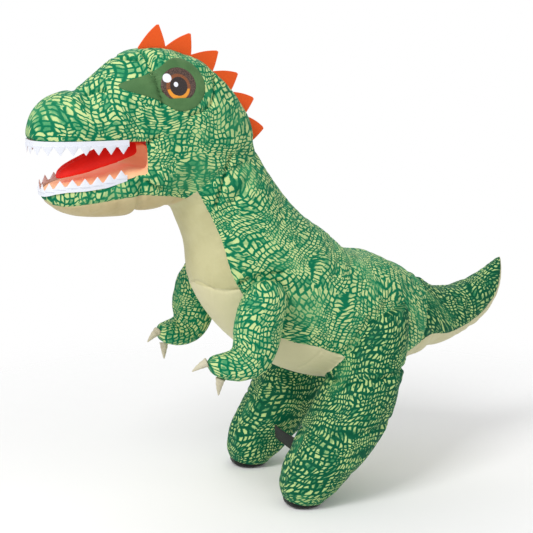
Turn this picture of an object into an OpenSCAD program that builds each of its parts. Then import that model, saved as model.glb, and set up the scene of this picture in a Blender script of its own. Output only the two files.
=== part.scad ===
// Air-blown fabric dinosaur that stands on two padded feet.
// It faces -Y, its left side is +X, and the floor is z = 0. Units are millimetres.

/* [Body] */
// Height from the floor to the tallest crest spike
height = 1000; // [800:10:1300]
// Thickness that stands for the double-sewn fabric wall
wall = 3; // [2:0.5:5]
// Half angle of the pale belly panel round the underside, in degrees
belly_angle = 51; // [40:1:60]
// How much further the pale belly spreads on each side behind the arms, in degrees
belly_flare = 13; // [0:1:16]
// Length of the flat black sole, front to back
sole_len = 80; // [60:2:100]
// Width of the flat black sole
sole_w = 84; // [64:2:100]
// Thickness of the black sole
sole_t = 3; // [2:0.5:5]

/* [Head] */
// Number of spikes on the felt crest
spikes = 6; // [4:1:9]
// Height of one crest spike
spike_h = 40; // [24:2:50]
// Number of teeth round the upper lip
upper_teeth_n = 19; // [12:1:26]
// Number of teeth round the lower lip
lower_teeth_n = 17; // [12:1:24]
// Length of one tooth
tooth_len = 25; // [16:1:30]
// Radius of the round eye patch
eye_r = 48; // [36:1:56]
// Thickness of the felt trim
felt = 2; // [1:0.5:3]

/* [Limbs] */
// Length of one claw
claw_len = 32; // [20:1:40]
// Radius of a claw at its root
claw_r = 10; // [7:0.5:12]
// Width of the webbing strap between the legs
strap_w = 30; // [20:1:40]
// Thickness of the webbing
strap_t = 2; // [1:0.5:3]

/* [Blower] */
// Outside diameter of the blower's tube
tube_d = 70; // [62:1:78]
// Width of the flange's lip round the tube
flange_w = 10; // [9:0.5:15]
// Wall of the moulded plastic parts
moulding = 2.5; // [2:0.1:3]
// Diameter of the motor
motor_d = 24.4; // [20:0.1:28]
// Diameter of the motor's shaft
shaft_d = 2; // [1.5:0.1:3]
// Diameter of the impeller's hub
hub_d = 20; // [16:0.5:26]
// Number of impeller blades
blades = 7; // [5:1:9]
// Diameter of one cell
cell_d = 14.5; // [14:0.1:16]
// Length of one cell
cell_len = 50.5; // [48:0.5:52]

/* [Hidden] */
$fn = 64;
k = (height - spike_h) / 960; // scale of the sewn body; felt, soles, claws, strap and blower keep their own sizes
play = 0.4;             // clearance of each running or sliding fit
gap = 0.5;              // half the seam gap in degrees
full = 2.2;             // roundness of the body sections
boxy = 2.6;             // roundness of the snout and jaw sections

// Sections: [x, y, z, half width, upper half height, lower half height, roll, pitch]
TRUNK = [
    [0, -178,  690,  92, 107, 107, 0,  28],
    [0, -132,  607, 106, 116, 117, 0,  27],
    [0,  -98,  531, 130, 140, 143, 0,  32],
    [0,  -36,  458, 150, 154, 156, 0,  45],
    [0,   45,  395, 160, 150, 150, 0,  62],
    [0,  130,  370, 158, 142, 142, 0,  80],
    [0,  215,  370, 138, 132, 126, 0,  96],
    [0,  290,  367, 106, 106, 102, 0, 105]
];
TAIL = [
    [0,  214,  376,  36,  84,  84, 0,  96],
    [0,  222,  375,  68,  88,  88, 0,  97],
    [0,  245,  372,  90,  92,  92, 0,  99],
    [0,  290,  366,  99,  96,  96, 0, 103],
    [0,  318,  360,  94,  90,  86, 0, 103],
    [0,  365,  345,  75,  71,  68, 0, 100],
    [0,  420,  350,  61,  58,  57, 0, 102],
    [0,  468,  369,  50,  50,  50, 0, 116],
    [0,  505,  398,  38,  38,  37, 0, 132],
    [0,  528,  430,  23,  24,  22, 0, 146],
    [0,  542,  458,   9,  10,   9, 0, 154],
    [0,  545,  464,   3,   3,   3, 0, 154]
];
HEAD = [
    [0, -562,  792,  16,   6,   3, 0, 90],
    [0, -558,  788,  30,  24,   5, 0, 90],
    [0, -547,  785,  47,  54,   7, 0, 90],
    [0, -520,  784,  66,  80,   8, 0, 90],
    [0, -482,  784,  78,  92,   8, 0, 90],
    [0, -455,  784,  83,  93,   8, 0, 90],
    [0, -420,  784,  87, 118,   9, 0, 90],
    [0, -375,  785,  90, 153,  10, 0, 90],
    [0, -350,  785,  92, 165,  12, 0, 90]
];
SKULL = [
    [0, -350,  785,  92, 165, 150, 0, 90],
    [0, -326,  785,  94, 170, 151, 0, 90],
    [0, -298,  786,  97, 171, 149, 0, 90],
    [0, -270,  786,  98, 167, 140, 0, 90],
    [0, -236,  786,  98, 156, 118, 0, 90],
    [0, -205,  785,  95, 143,  94, 0, 90],
    [0, -158,  777,  86, 109,  68, 0, 90],
    [0, -116,  764,  64,  68,  50, 0, 90],
    [0,  -96,  750,  36,  34,  28, 0, 90],
    [0,  -90,  744,  12,  10,   9, 0, 90]
];
JAW = [
    [0, -538,  676,  14,   3,   7, 0, 90],
    [0, -534,  679,  27,   4,  18, 0, 90],
    [0, -524,  683,  42,   6,  31, 0, 90],
    [0, -505,  687,  57,   9,  45, 0, 90],
    [0, -470,  689,  70,  14,  56, 0, 90],
    [0, -430,  694,  77,  16,  65, 0, 90],
    [0, -395,  704,  80,  16,  76, 0, 90],
    [0, -370,  711,  80,  14,  83, 0, 90],
    [0, -358,  714,  73,  12,  74, 0, 90],
    [0, -335,  715,  70,   7,  72, 0, 90],
    [0, -312,  709,  60,   5,  62, 0, 90],
    [0, -305,  702,  38,   4,  40, 0, 90]
];
TONGUE = [
    [0, -507,  708,   8,   2,   2, 0, 90],
    [0, -502,  710,  19,   6,   5, 0, 90],
    [0, -484,  715,  30,  10,   8, 0, 90],
    [0, -450,  723,  37,  14,  10, 0, 90],
    [0, -410,  733,  40,  15,  10, 0, 90],
    [0, -372,  742,  36,  12,   9, 0, 90],
    [0, -350,  746,  24,   7,   6, 0, 90],
    [0, -345,  747,  10,   3,   3, 0, 90]
];
LEG = [
    [120, 160, 400,  56,  66,  66,  0, 14],
    [126, 146, 345,  66,  76,  76,  0, 12],
    [134, 125, 290,  74,  82,  82,  0,  8],
    [140, 100, 235,  79,  86,  87,  0,  4],
    [142,  71, 173,  82,  89,  93,  0,  0],
    [142,  41, 113,  81,  77,  95,  0,  0],
    [141,  19,  79,  77,  61,  91,  0,  0],
    [140,   0,  44,  69,  40,  81,  0,  0],
    [140, -18,  18, (sole_w / 2 + 14) / k, (sole_len / 2 - 10) / k, (sole_len / 2 + 19) / k, 0, 0],
    [140, -30,   7, (sole_w / 2 + 4) / k, (sole_len / 2 - 2) / k, (sole_len / 2 + 5) / k, 0, 0],
    [140, -33, (sole_t + 0.6) / k, (sole_w / 2 - 1) / k, (sole_len / 2 - 1) / k, (sole_len / 2 - 1) / k, 0, 0]
];
ARM = [
    [156, -128,  496,   8,   9,   9, 0,   0],
    [158, -128,  491,  24,  27,  27, 0,   0],
    [163, -129,  474,  36,  43,  43, 0,   0],
    [166, -138,  446,  41,  53,  52, 0,   0],
    [167, -147,  410,  41,  54,  53, 0,   0],
    [168, -155,  372,  40,  51,  49, 0, -14],
    [165, -168,  342,  39,  45,  43, 0, -42],
    [159, -190,  328,  37,  35,  33, 0, -76],
    [153, -214,  327,  34,  30,  28, 0, -90],
    [148, -238,  329,  26,  22,  21, 0, -90],
    [145, -249,  331,  10,   8,   8, 0, -90]
];

// Two claws on the left hand: [root x, y, z, direction x, y, z]
CLAWS = [[140, -251, 334, -0.35, -0.85, -0.42], [158, -228, 300, -0.25, -0.12, -0.96]];

NOD = [0, -183, 700];        // centre of the head's nod
JAW_PIVOT = [0, -350, 745];  // mouth corner
SHOULDER = [160, -128, 455];
TAIL_PIVOT = [0, 290, 366];
FAN = [-161, 60, 400];       // centre of the blower's flange on the right flank
tube_len = 58;
flange_d = tube_d + 2 * flange_w;
pitch = cell_d / 2 + 1.75;   // half the distance between cells
plate_d = 2 * (pitch * sqrt(2) + cell_d / 2) + 12;
case_d = plate_d + 7 + 2 * moulding;
case_len = cell_len + 14;

// ---------- lofted surfaces ----------
function spow(v, e) = sign(v) * pow(abs(v), e);
function smooth(a, b, c, d, f) =
    0.5 * (2 * b + (c - a) * f + (2 * a - 5 * b + 4 * c - d) * f * f + (3 * b - a - 3 * c + d) * f * f * f);
function section(S, s) =
    let (n = len(S) - 1, c = min(max(s, 0), n), i = min(floor(c), n - 1))
    smooth(S[max(i - 1, 0)], S[i], S[i + 1], S[min(i + 2, n)], c - i);
// Point of a lofted body at section s and angle t: 0 is the left side, 90 the top or back
function at(S, e, s, t) =
    let (r = section(S, s), c = r[3] * spow(cos(t), 2 / e),
         v = sin(t) >= 0 ? r[4] * spow(sin(t), 2 / e) : r[5] * spow(sin(t), 2 / (e > 2.5 ? e + 0.6 : e)))
    k * [r[0] + c * cos(r[6]), r[1] + v * cos(r[7]), r[2] + c * sin(r[6]) + v * sin(r[7])];
function unit(v) = v / max(norm(v), 1e-9);
function tilt(S, e, s, t) =
    let (h = 0.04, n = len(S) - 1, a = max(s - h, 0), b = min(s + h, n))
    unit(cross(at(S, e, b, t) - at(S, e, a, t), at(S, e, s, t + 1.5) - at(S, e, s, t - 1.5)));
// +1 when the cross product above points out of the body
function outward(S, e, s, t) =
    let (r = section(S, s)) sign(tilt(S, e, s, t) * (at(S, e, s, t) - k * [r[0], r[1], r[2]]));
function skin(S, e, s, t, d, g) = at(S, e, s, t) + g * d * tilt(S, e, s, t);

function quad(a, b, c, d, flip) = flip ? [[a, c, b], [a, d, c]] : [[a, b, c], [a, c, d]];
// Faces of a block of points R by K by 2
function block_faces(R, K, flip) = let (id = function(i, j, l) (l * R + i) * K + j)
    concat(
        [for (i = [0:R-2]) for (j = [0:K-2]) each quad(id(i, j, 1), id(i, j+1, 1), id(i+1, j+1, 1), id(i+1, j, 1), flip)],
        [for (i = [0:R-2]) for (j = [0:K-2]) each quad(id(i, j, 0), id(i+1, j, 0), id(i+1, j+1, 0), id(i, j+1, 0), flip)],
        [for (i = [0:R-2]) each quad(id(i, K-1, 0), id(i+1, K-1, 0), id(i+1, K-1, 1), id(i, K-1, 1), flip)],
        [for (i = [0:R-2]) each quad(id(i, 0, 0), id(i, 0, 1), id(i+1, 0, 1), id(i+1, 0, 0), flip)],
        [for (j = [0:K-2]) each quad(id(R-1, j, 0), id(R-1, j, 1), id(R-1, j+1, 1), id(R-1, j+1, 0), flip)],
        [for (j = [0:K-2]) each quad(id(0, j, 0), id(0, j+1, 0), id(0, j+1, 1), id(0, j, 1), flip)]);
module block(points, R, K, flip) polyhedron(points, block_faces(R, K, flip), convexity = 8);

// Extra belly width at trunk section s, in degrees
function ease(a) = let (c = min(max(a, 0), 1)) c * c * (3 - 2 * c);
function flare(s) = belly_flare * (ease((s - 3.2) / 0.8) - ease((s - 4.9) / 1.6));
// Sewn panel: part of a lofted body between two sections and two angles, its edges moved by the flare
module panel(S, e, s0, s1, ns, t0, t1, nt, d0 = undef, d1 = 0, f0 = 0, f1 = 0) {
    g = outward(S, e, (s0 + s1) / 2, (t0 + t1) / 2 + 7);
    inner = is_undef(d0) ? -wall : d0;
    block([for (l = [0, 1]) for (i = [0:ns]) for (j = [0:nt])
            let (s = s0 + (s1 - s0) * i / ns, a = t0 + f0 * flare(s), b = t1 + f1 * flare(s))
            skin(S, e, s, a + (b - a) * j / nt, l == 0 ? inner : d1, g)],
        ns + 1, nt + 1, g < 0);
}

// Closed soft body from sections s0 to s1, offset by d
module pillow(S, e, s0, s1, ns, nt, d = 0) {
    g = outward(S, e, (s0 + s1) / 2, 50);
    pts = [for (i = [0:ns]) for (j = [0:nt-1]) skin(S, e, s0 + (s1 - s0) * i / ns, 360 * j / nt, d, g)];
    side = [for (i = [0:ns-1]) for (j = [0:nt-1]) let (q = (j + 1) % nt)
        each quad(i*nt + j, i*nt + q, (i+1)*nt + q, (i+1)*nt + j, g < 0)];
    ends = [for (j = [1:nt-2]) each [
        g < 0 ? [0, j, j+1] : [0, j+1, j],
        g < 0 ? [ns*nt, ns*nt + j+1, ns*nt + j] : [ns*nt, ns*nt + j, ns*nt + j+1]]];
    polyhedron(pts, concat(side, ends), convexity = 6);
}

// Point on the left side of the skull at a given y and z, pushed out by d
function row_at(S, y) = section(S, lookup(y, [for (i = [0:len(S)-1]) [S[i][1], i]]));
function flank_x(y, z) = let (r = y < SKULL[0][1] ? row_at(HEAD, y) : row_at(SKULL, y), q = min(abs(z - r[2]) / r[4], 0.98))
    r[3] * pow(1 - pow(q, boxy), 1 / boxy);
function flank(y, z, d) = let (h = 4, n = unit([1,
        -(flank_x(y + h, z) - flank_x(y - h, z)) / (2 * h), -(flank_x(y, z + h) - flank_x(y, z - h)) / (2 * h)]))
    k * [flank_x(y, z), y, z] + d * n;
// Felt patch on the side of the head, oval with an optional point towards the front
module decal(yc, zc, ry, rz, d0, d1, beak = 0) {
    R = 3; K = 28;
    pts = concat(
        [flank(yc, zc, d1), flank(yc, zc, d0)],
        [for (l = [0, 1]) for (i = [1:R]) for (j = [0:K-1])
            let (f = 360 * j / K, q = i / R * (1 + beak * pow(max(-cos(f), 0), 9)))
            flank(yc + ry * q * cos(f), zc + rz * min(q, i / R * 1.1) * sin(f) , l == 0 ? d0 : d1)]);
    id = function(i, j, l) 2 + (l * R + i - 1) * K + (j % K);
    faces = concat(
        [for (j = [0:K-1]) [0, id(1, j+1, 1), id(1, j, 1)]],
        [for (j = [0:K-1]) [1, id(1, j, 0), id(1, j+1, 0)]],
        [for (i = [1:R-1]) for (j = [0:K-1]) each quad(id(i, j, 1), id(i, j+1, 1), id(i+1, j+1, 1), id(i+1, j, 1), false)],
        [for (i = [1:R-1]) for (j = [0:K-1]) each quad(id(i, j, 0), id(i+1, j, 0), id(i+1, j+1, 0), id(i, j+1, 0), false)],
        [for (j = [0:K-1]) each quad(id(R, j, 0), id(R, j, 1), id(R, j+1, 1), id(R, j+1, 0), false)]);
    polyhedron(pts, faces, convexity = 6);
}

// Zigzag felt strip round a lip: half width A, depth B from y0, teeth n
module teeth_strip(A, B, y0, n, base, tip) {
    at_lip = function(f, d) let (c = spow(cos(f), 2 / boxy), v = spow(sin(f), 2 / boxy))
        [k * A * c + d * cos(f), k * (y0 - B * v) - d * sin(f)];
    pts = [for (l = [0, 1]) for (i = [0:2*n]) let (f = 4 + 172 * i / (2 * n), p = at_lip(f, l == 0 ? -felt / 2 : felt / 2))
        each [[p[0], p[1], k * base(p[1] / k)], [p[0], p[1], k * base(p[1] / k) + (i % 2 == 1 ? 1 : 0.3) * tip]]];
    block(pts, 2 * n + 1, 2, tip < 0);
}

module mirrored() mirror([1, 0, 0]) children();

// ---------- neck, trunk and hips ----------
flank0 = -90 + belly_angle + gap;
module green() color([0.22, 0.50, 0.34]) children();
module tan_cloth() color([0.74, 0.71, 0.55]) children();
module black() color([0.03, 0.03, 0.035]) children();

module trunk_side(s0, s1, ns) panel(TRUNK, full, s0, s1, ns, flank0, 90 - gap, 12, f0 = 1);
module trunk_belly(s0, s1, ns)
    panel(TRUNK, full, s0, s1, ns, -90 - belly_angle + gap, -90 + belly_angle - gap, 10, f0 = -1, f1 = 1);
module neck_left_panel() green() trunk_side(0.14, 1.985, 6);
module neck_right_panel() mirrored() neck_left_panel();
module throat_panel() tan_cloth() trunk_belly(0.14, 1.985, 6);
module body_left_panel() green() trunk_side(2.015, 4.985, 9);
module body_right_panel() green() difference() {
    mirrored() trunk_side(2.015, 4.985, 9);
    translate(k * [0, FAN[1], FAN[2]]) rotate([0, -90, 0]) cylinder(d = tube_d + 2, h = 300 * k);
}
module chest_panel() tan_cloth() trunk_belly(2.015, 3.985, 7);
module hip_left_panel() green() trunk_side(5.015, 6.98, 6);
module hip_right_panel() mirrored() hip_left_panel();
module belly_panel() tan_cloth() trunk_belly(4.015, 6.98, 9);

// ---------- legs ----------
module leg_side(t0, t1) resize([0, 0, 0]) difference() {
    panel(LEG, full, 0.4, 10, 22, t0 + gap, t1 - gap, 12);
    pillow(TRUNK, full, 0, 7, 18, 36, 1.8 * k);
}
module left_leg_outer_panel() green() leg_side(-90, 90);
module left_leg_inner_panel() green() leg_side(90, 270);
module right_leg_outer_panel() mirrored() left_leg_outer_panel();
module right_leg_inner_panel() mirrored() left_leg_inner_panel();
module left_sole() black() translate(k * [140, -33, 0]) linear_extrude(sole_t)
    polygon([for (a = [0:7.5:352.5]) [sole_w / 2 * cos(a), sole_len / 2 * sin(a)]]);
module right_sole() mirrored() left_sole();
module leg_strap() black() resize([0, 0, 0]) difference() {
    translate([-80 * k, 0, k * 94 - strap_w / 2]) cube([160 * k, strap_t, strap_w]);
    for (side = [0, 1]) mirror([side, 0, 0]) pillow(LEG, full, 2, 9, 28, 48, 0.2 * k);
}

// ---------- head ----------
module snout_left_panel() green() panel(HEAD, boxy, 0, 7.96, 18, gap, 90 - gap, 9);
module snout_right_panel() mirrored() snout_left_panel();
module skull_left_panel() green() resize([0, 0, 0]) difference() {
    panel(SKULL, boxy, 0.02, 9, 17, -89.5, 90 - gap, 20);
    intersection() {
        translate(k * NOD) rotate([0, 90, 0]) cylinder(r = 101 * k, h = 173 * k, center = true, $fn = 48);
        translate(k * [-100, -340, 560]) cube(k * [200, 200, 180]);
    }
}
module skull_right_panel() mirrored() skull_left_panel();
module palate_lining() color([0.90, 0.62, 0.46]) panel(HEAD, boxy, 0.3, 7.96, 14, 180 + gap, 360 - gap, 12);
module throat_lining() color([0.80, 0.40, 0.30]) translate(k * [0, -287, 704]) rotate([90, 0, 0]) linear_extrude(wall) scale([1, 0.66]) circle(r = 84 * k);
module neck_gusset() green() translate(k * NOD) {
    R = 99 * k; W = 84 * k;
    rows = 10; cols = 16;
    // part of a barrel about the nod axis, open at the top
    block([for (l = [0, 1]) for (i = [0:rows]) for (j = [0:cols])
            let (u = -1 + 2 * i / rows, r = R * sqrt(1 - 0.8 * u * u) - (l == 0 ? wall : 0), a = 200 + 146 * j / cols)
            [W * u, r * cos(a), r * sin(a)]],
        rows + 1, cols + 1, true);
}
module crest() color([0.93, 0.40, 0.18]) {
    // ridge of the head: point and outward direction at a fraction f of the crest's length
    ss = [for (i = [0:48]) 0.75 + 8.05 * i / 48];
    line = [for (v = ss) at(SKULL, boxy, v, 90)];
    run = [for (i = 0, a = 0; i <= 48; i = i + 1, a = a + (i <= 48 ? norm(line[i] - line[i - 1]) : 0)) a];
    where = [for (i = [0:48]) [run[i] / run[48], ss[i]]];
    edge = function(f, d) let (v = lookup(f, where), p = at(SKULL, boxy, v, 90),
            n = tilt(SKULL, boxy, v, 90) * outward(SKULL, boxy, v, 88))
        [p[1] + d * n[1], p[2] + d * n[2]];
    lean = function(f) let (n = edge(f, 1) - edge(f, 0)) n + 0.2 * [n[1], -n[0]];
    base = [for (i = [0:40]) edge(1 - i / 40, 1.6)];
    top = [for (i = [0:spikes-1]) each [
        edge(i / spikes, i == 0 ? 3 : 7),
        edge((i + 0.55) / spikes, 3) + spike_h * (1 - 0.045 * i) * lean((i + 0.55) / spikes)]];
    translate([felt * 0.75, 0, 0]) rotate([90, 0, -90])
        linear_extrude(felt * 1.5) polygon([for (p = concat(top, [edge(1, 3)], base)) [-p[0], p[1]]]);
}
module upper_teeth() color([0.90, 0.91, 0.93])
    teeth_strip(88, 203, -360, upper_teeth_n, function(y) 780, -tooth_len);
module left_eye_patch() color([0.42, 0.56, 0.40])
    decal(-279, 886, eye_r / k, eye_r / k * 1.02, 1.5, 1.5 + felt * 0.75, 1.45);
module right_eye_patch() mirrored() left_eye_patch();
module left_eye_disc() color([0.25, 0.13, 0.06])
    decal(-280, 887, eye_r / k * 0.74, eye_r / k * 0.66, 1.9 + felt * 0.75, 1.9 + felt * 1.5);
module right_eye_disc() mirrored() left_eye_disc();

// ---------- jaw ----------
module jaw_left_panel() green() panel(JAW, boxy, 0, 11, 20, -42 + gap, -gap, 6);
module jaw_right_panel() mirrored() jaw_left_panel();
module chin_panel() tan_cloth() panel(JAW, boxy, 0, 11, 20, -138 + gap, -42 - gap, 8);
module jaw_lining() color([0.92, 0.66, 0.50]) panel(JAW, boxy, 0.2, 10.8, 18, gap, 180 - gap, 12);
module tongue() color([0.76, 0.12, 0.10]) pillow(TONGUE, full, 0, 7, 18, 20);
module lower_teeth() color([0.90, 0.91, 0.93])
    teeth_strip(79.5, 176, -366, lower_teeth_n,
        function(y) 6 + lookup(y, [[-540, 680], [-505, 687], [-470, 689], [-430, 694], [-395, 704], [-370, 711]]), tooth_len);

// ---------- arms ----------
// The armhole clears the body over the arm's whole swing
module arm_side(t0, t1) resize([0, 0, 0]) difference() {
    panel(ARM, full, 0, 10, 20, t0 + gap, t1 - gap, 8);
    for (a = [-15, -8, 0, 8]) translate(k * SHOULDER) rotate([-a, 0, 0]) translate(-k * SHOULDER)
        pillow(TRUNK, full, 0, 7, 20, 40, 1.6 * k);
}
module left_arm_outer_panel() green() arm_side(-90, 90);
module left_arm_inner_panel() green() arm_side(90, 270);
module right_arm_outer_panel() mirrored() left_arm_outer_panel();
module right_arm_inner_panel() mirrored() left_arm_inner_panel();
module left_claws() tan_cloth() for (c = CLAWS) let (d = unit([c[3], c[4], c[5]]))
    translate(k * [c[0], c[1], c[2]] + 3.2 * d)
        rotate([0, acos(d[2]), atan2(d[1], d[0])]) cylinder(r1 = claw_r, r2 = 2, h = claw_len);
module right_claws() mirrored() left_claws();

// ---------- tail ----------
module tail_left_panel() green() panel(TAIL, full, 0, 11, 21, -28 + gap, 90 - gap, 8);
module tail_right_panel() mirrored() tail_left_panel();
module tail_belly_panel() tan_cloth() panel(TAIL, full, 0, 11, 21, -152 + gap, -28 - gap, 8);

// ---------- blower: local +z points out of the right flank, z = 0 is the fabric ----------
module blower() translate(k * FAN) rotate([90, 0, -90]) children();
module pipe(d, t, z0, z1) translate([0, 0, z0]) difference() {
    cylinder(d = d, h = z1 - z0);
    translate([0, 0, -1]) cylinder(d = d - 2 * t, h = z1 - z0 + 2);
}
module dark_plastic() color([0.07, 0.07, 0.08]) children();
rear = -tube_len - 14;
bore = tube_d - 2 * moulding;
lip = 3;                                  // thickness of the flange
sag = pow(flange_d, 2) / (1200 * k);      // how far the flank curves away under the flange
switch_r = tube_d / 2 + flange_w / 2;     // the switch slides on the middle of the lip
switch_w = 5;
module fan_housing() dark_plastic() blower() {
    pipe(tube_d, moulding, -tube_len, 1 + lip);
    pipe(flange_d, flange_w + 0.5, 1, 1 + lip);
    seat = min(case_d, tube_d) / 2 - 6;
    for (a = [30:120:270]) rotate([0, 0, a])
        translate([seat, -4, rear - 0.25]) cube([tube_d / 2 - seat, 8, 15.25]);
    translate([0, 0, -38]) difference() {
        cylinder(d = motor_d + 5.6, h = 4);
        translate([0, 0, -1]) cylinder(d = motor_d + 2 * 0.3, h = 6);
    }
    arm = motor_d / 2 + 2.3;
    for (a = [0:60:300]) rotate([0, 0, a]) translate([arm, -1, -38]) cube([bore / 2 - arm + 0.5, 2, 4]);
    rotate([0, 0, 90]) for (x = [-1, 1])
        translate([switch_r + x * (switch_w / 2 + play + 0.5) - 0.5, -4.5, lip]) cube([1, 13, 2.6]);
}
module intake_grille() dark_plastic() blower() {
    g = bore - 2 * play;
    pipe(g, 2.5, 0.5, 3.5);
    for (d = [g - 16, g - 30]) pipe(d, 1.8, 0.5, 3.5);
    translate([0, 0, 0.5]) cylinder(d = 14, h = 3);
    for (a = [0:60:300]) rotate([0, 0, a]) translate([5.5, -1, 0.9]) cube([g / 2 - 7, 2, 2.2]);
}
module impeller() color([0.85, 0.86, 0.88]) blower() {
    difference() {
        translate([0, 0, -24]) cylinder(d = hub_d, h = 18);
        translate([0, 0, -25]) cylinder(d = shaft_d + 2 * play, h = 14);
    }
    root = hub_d / 2 - 1;
    for (i = [0:blades-1]) rotate([0, 0, i * 360 / blades]) translate([root, 0, -15])
        rotate([38, 0, 0]) translate([0, -0.8, -7]) cube([bore / 2 - 2.2 - root, 1.6, 14]);
}
module fan_motor() color([0.70, 0.71, 0.73]) blower() {
    translate([0, 0, -56]) cylinder(d = motor_d, h = 28);
    translate([0, 0, -28.5]) cylinder(d = shaft_d, h = 16);
}
module clamp_ring() dark_plastic() blower()
    pipe(flange_d - 2, flange_w - 1 - play, -sag - wall - 7, -sag - wall - 3.5);
module battery_case() dark_plastic() blower() translate([0, 0, rear - case_len]) difference() {
    cylinder(d = case_d, h = case_len - 0.3);
    translate([0, 0, -1]) cylinder(d = case_d - 2 * moulding, h = case_len - moulding);
}
module battery_cap() color([0.10, 0.10, 0.11]) blower() {
    cap_d = case_d + 2 * (play + 1.6);
    translate([0, 0, rear - case_len - 4]) cylinder(d = cap_d, h = 3.5);
    pipe(cap_d, 1.6, rear - case_len - 1, rear - case_len + 10);
    for (a = [0:30:330]) rotate([0, 0, a]) translate([cap_d / 2 - 0.2, -1.5, rear - case_len - 4]) cube([1.6, 3, 14]);
}
module cells() color([0.80, 0.55, 0.20]) blower() for (x = [-1, 1]) for (y = [-1, 1])
    translate([x * pitch, y * pitch, rear - case_len + 5]) {
        cylinder(d = cell_d, h = cell_len - 1.2);
        translate([0, 0, cell_len - 1.5]) cylinder(d = 5.5, h = 1.5);
    }
module contact_plate() color([0.75, 0.76, 0.78]) blower() translate([0, 0, rear - case_len + 1]) {
    cylinder(d = plate_d, h = 1.2);
    for (x = [-1, 1]) for (y = [-1, 1]) translate([x * pitch, y * pitch, 1]) cylinder(d1 = 9, d2 = 5, h = 2.4);
}
module power_switch() color([0.75, 0.10, 0.08]) blower() rotate([0, 0, 90])
    translate([switch_r - switch_w / 2, -2, 1 + lip + play]) cube([switch_w, 8, 2.5]);

neck_left_panel();
neck_right_panel();
throat_panel();
body_left_panel();
body_right_panel();
chest_panel();
hip_left_panel();
hip_right_panel();
belly_panel();
left_leg_outer_panel();
left_leg_inner_panel();
right_leg_outer_panel();
right_leg_inner_panel();
left_sole();
right_sole();
leg_strap();
snout_left_panel();
snout_right_panel();
skull_left_panel();
skull_right_panel();
neck_gusset();
palate_lining();
throat_lining();
crest();
upper_teeth();
left_eye_patch();
right_eye_patch();
left_eye_disc();
right_eye_disc();
jaw_left_panel();
jaw_right_panel();
chin_panel();
jaw_lining();
tongue();
lower_teeth();
left_arm_outer_panel();
left_arm_inner_panel();
left_claws();
right_arm_outer_panel();
right_arm_inner_panel();
right_claws();
tail_left_panel();
tail_right_panel();
tail_belly_panel();
fan_housing();
intake_grille();
impeller();
fan_motor();
clamp_ring();
battery_case();
battery_cap();
cells();
contact_plate();
power_switch();
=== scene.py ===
"""Air-blown fabric dinosaur: sewn skins, felt trim, strap, soles and blower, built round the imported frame."""
import logging
import math
from dataclasses import dataclass, field
from enum import Enum
from typing import Callable, Iterable, Sequence

import bmesh
import bpy
import numpy as np
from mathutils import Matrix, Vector, noise
from mathutils.bvhtree import BVHTree
from mathutils.kdtree import KDTree


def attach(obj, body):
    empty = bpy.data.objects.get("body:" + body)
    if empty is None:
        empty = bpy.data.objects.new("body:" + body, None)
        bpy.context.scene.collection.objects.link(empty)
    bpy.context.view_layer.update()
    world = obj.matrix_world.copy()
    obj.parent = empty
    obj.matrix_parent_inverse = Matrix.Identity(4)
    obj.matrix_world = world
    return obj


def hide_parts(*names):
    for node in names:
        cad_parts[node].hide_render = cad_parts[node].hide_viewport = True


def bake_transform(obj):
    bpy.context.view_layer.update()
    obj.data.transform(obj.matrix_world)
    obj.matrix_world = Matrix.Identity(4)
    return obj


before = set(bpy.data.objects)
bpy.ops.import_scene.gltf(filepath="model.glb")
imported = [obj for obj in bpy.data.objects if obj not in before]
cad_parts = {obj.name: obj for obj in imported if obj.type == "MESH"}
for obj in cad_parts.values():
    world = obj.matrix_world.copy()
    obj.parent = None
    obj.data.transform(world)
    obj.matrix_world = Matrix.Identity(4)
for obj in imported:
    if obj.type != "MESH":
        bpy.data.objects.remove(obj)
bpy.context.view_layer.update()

MM = 0.001
LOG = logging.getLogger("dinosaur")
Array = np.ndarray
TINY = 1e-9


# ---------------------------------------------------------------- shader maths
class Wire:
    """A shader socket that can be used in Python sums."""

    def __init__(self, graph: "Graph", socket: bpy.types.NodeSocket) -> None:
        """Keeps the socket and the graph that owns it."""
        self.graph = graph
        self.socket = socket

    def _maths(self, operation: str, *values: "Wire | float") -> "Wire":
        """Adds one Math node."""
        return self.graph.node("ShaderNodeMath", {"operation": operation}, dict(enumerate(values)))[0]

    def __add__(self, other: "Wire | float") -> "Wire":
        """Sum."""
        return self._maths("ADD", self, other)

    __radd__ = __add__

    def __sub__(self, other: "Wire | float") -> "Wire":
        """Difference."""
        return self._maths("SUBTRACT", self, other)

    def __rsub__(self, other: "Wire | float") -> "Wire":
        """Reflected difference."""
        return self._maths("SUBTRACT", other, self)

    def __mul__(self, other: "Wire | float") -> "Wire":
        """Product."""
        return self._maths("MULTIPLY", self, other)

    __rmul__ = __mul__

    def __truediv__(self, other: "Wire | float") -> "Wire":
        """Quotient."""
        return self._maths("DIVIDE", self, other)

    def __pow__(self, other: "Wire | float") -> "Wire":
        """Power."""
        return self._maths("POWER", self, other)

    def least(self, other: "Wire | float") -> "Wire":
        """Smaller of two values."""
        return self._maths("MINIMUM", self, other)

    def step(self, low: float, high: float) -> "Wire":
        """Smooth ramp from 0 at low to 1 at high.

        Args:
            low: value that gives 0.
            high: value that gives 1; it may be the smaller of the two.

        Returns:
            The ramped value.
        """
        return self.graph.node(
            "ShaderNodeMapRange", {"interpolation_type": "SMOOTHSTEP"},
            {"Value": self, "From Min": low, "From Max": high, "To Min": 0.0, "To Max": 1.0})[0]


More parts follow.
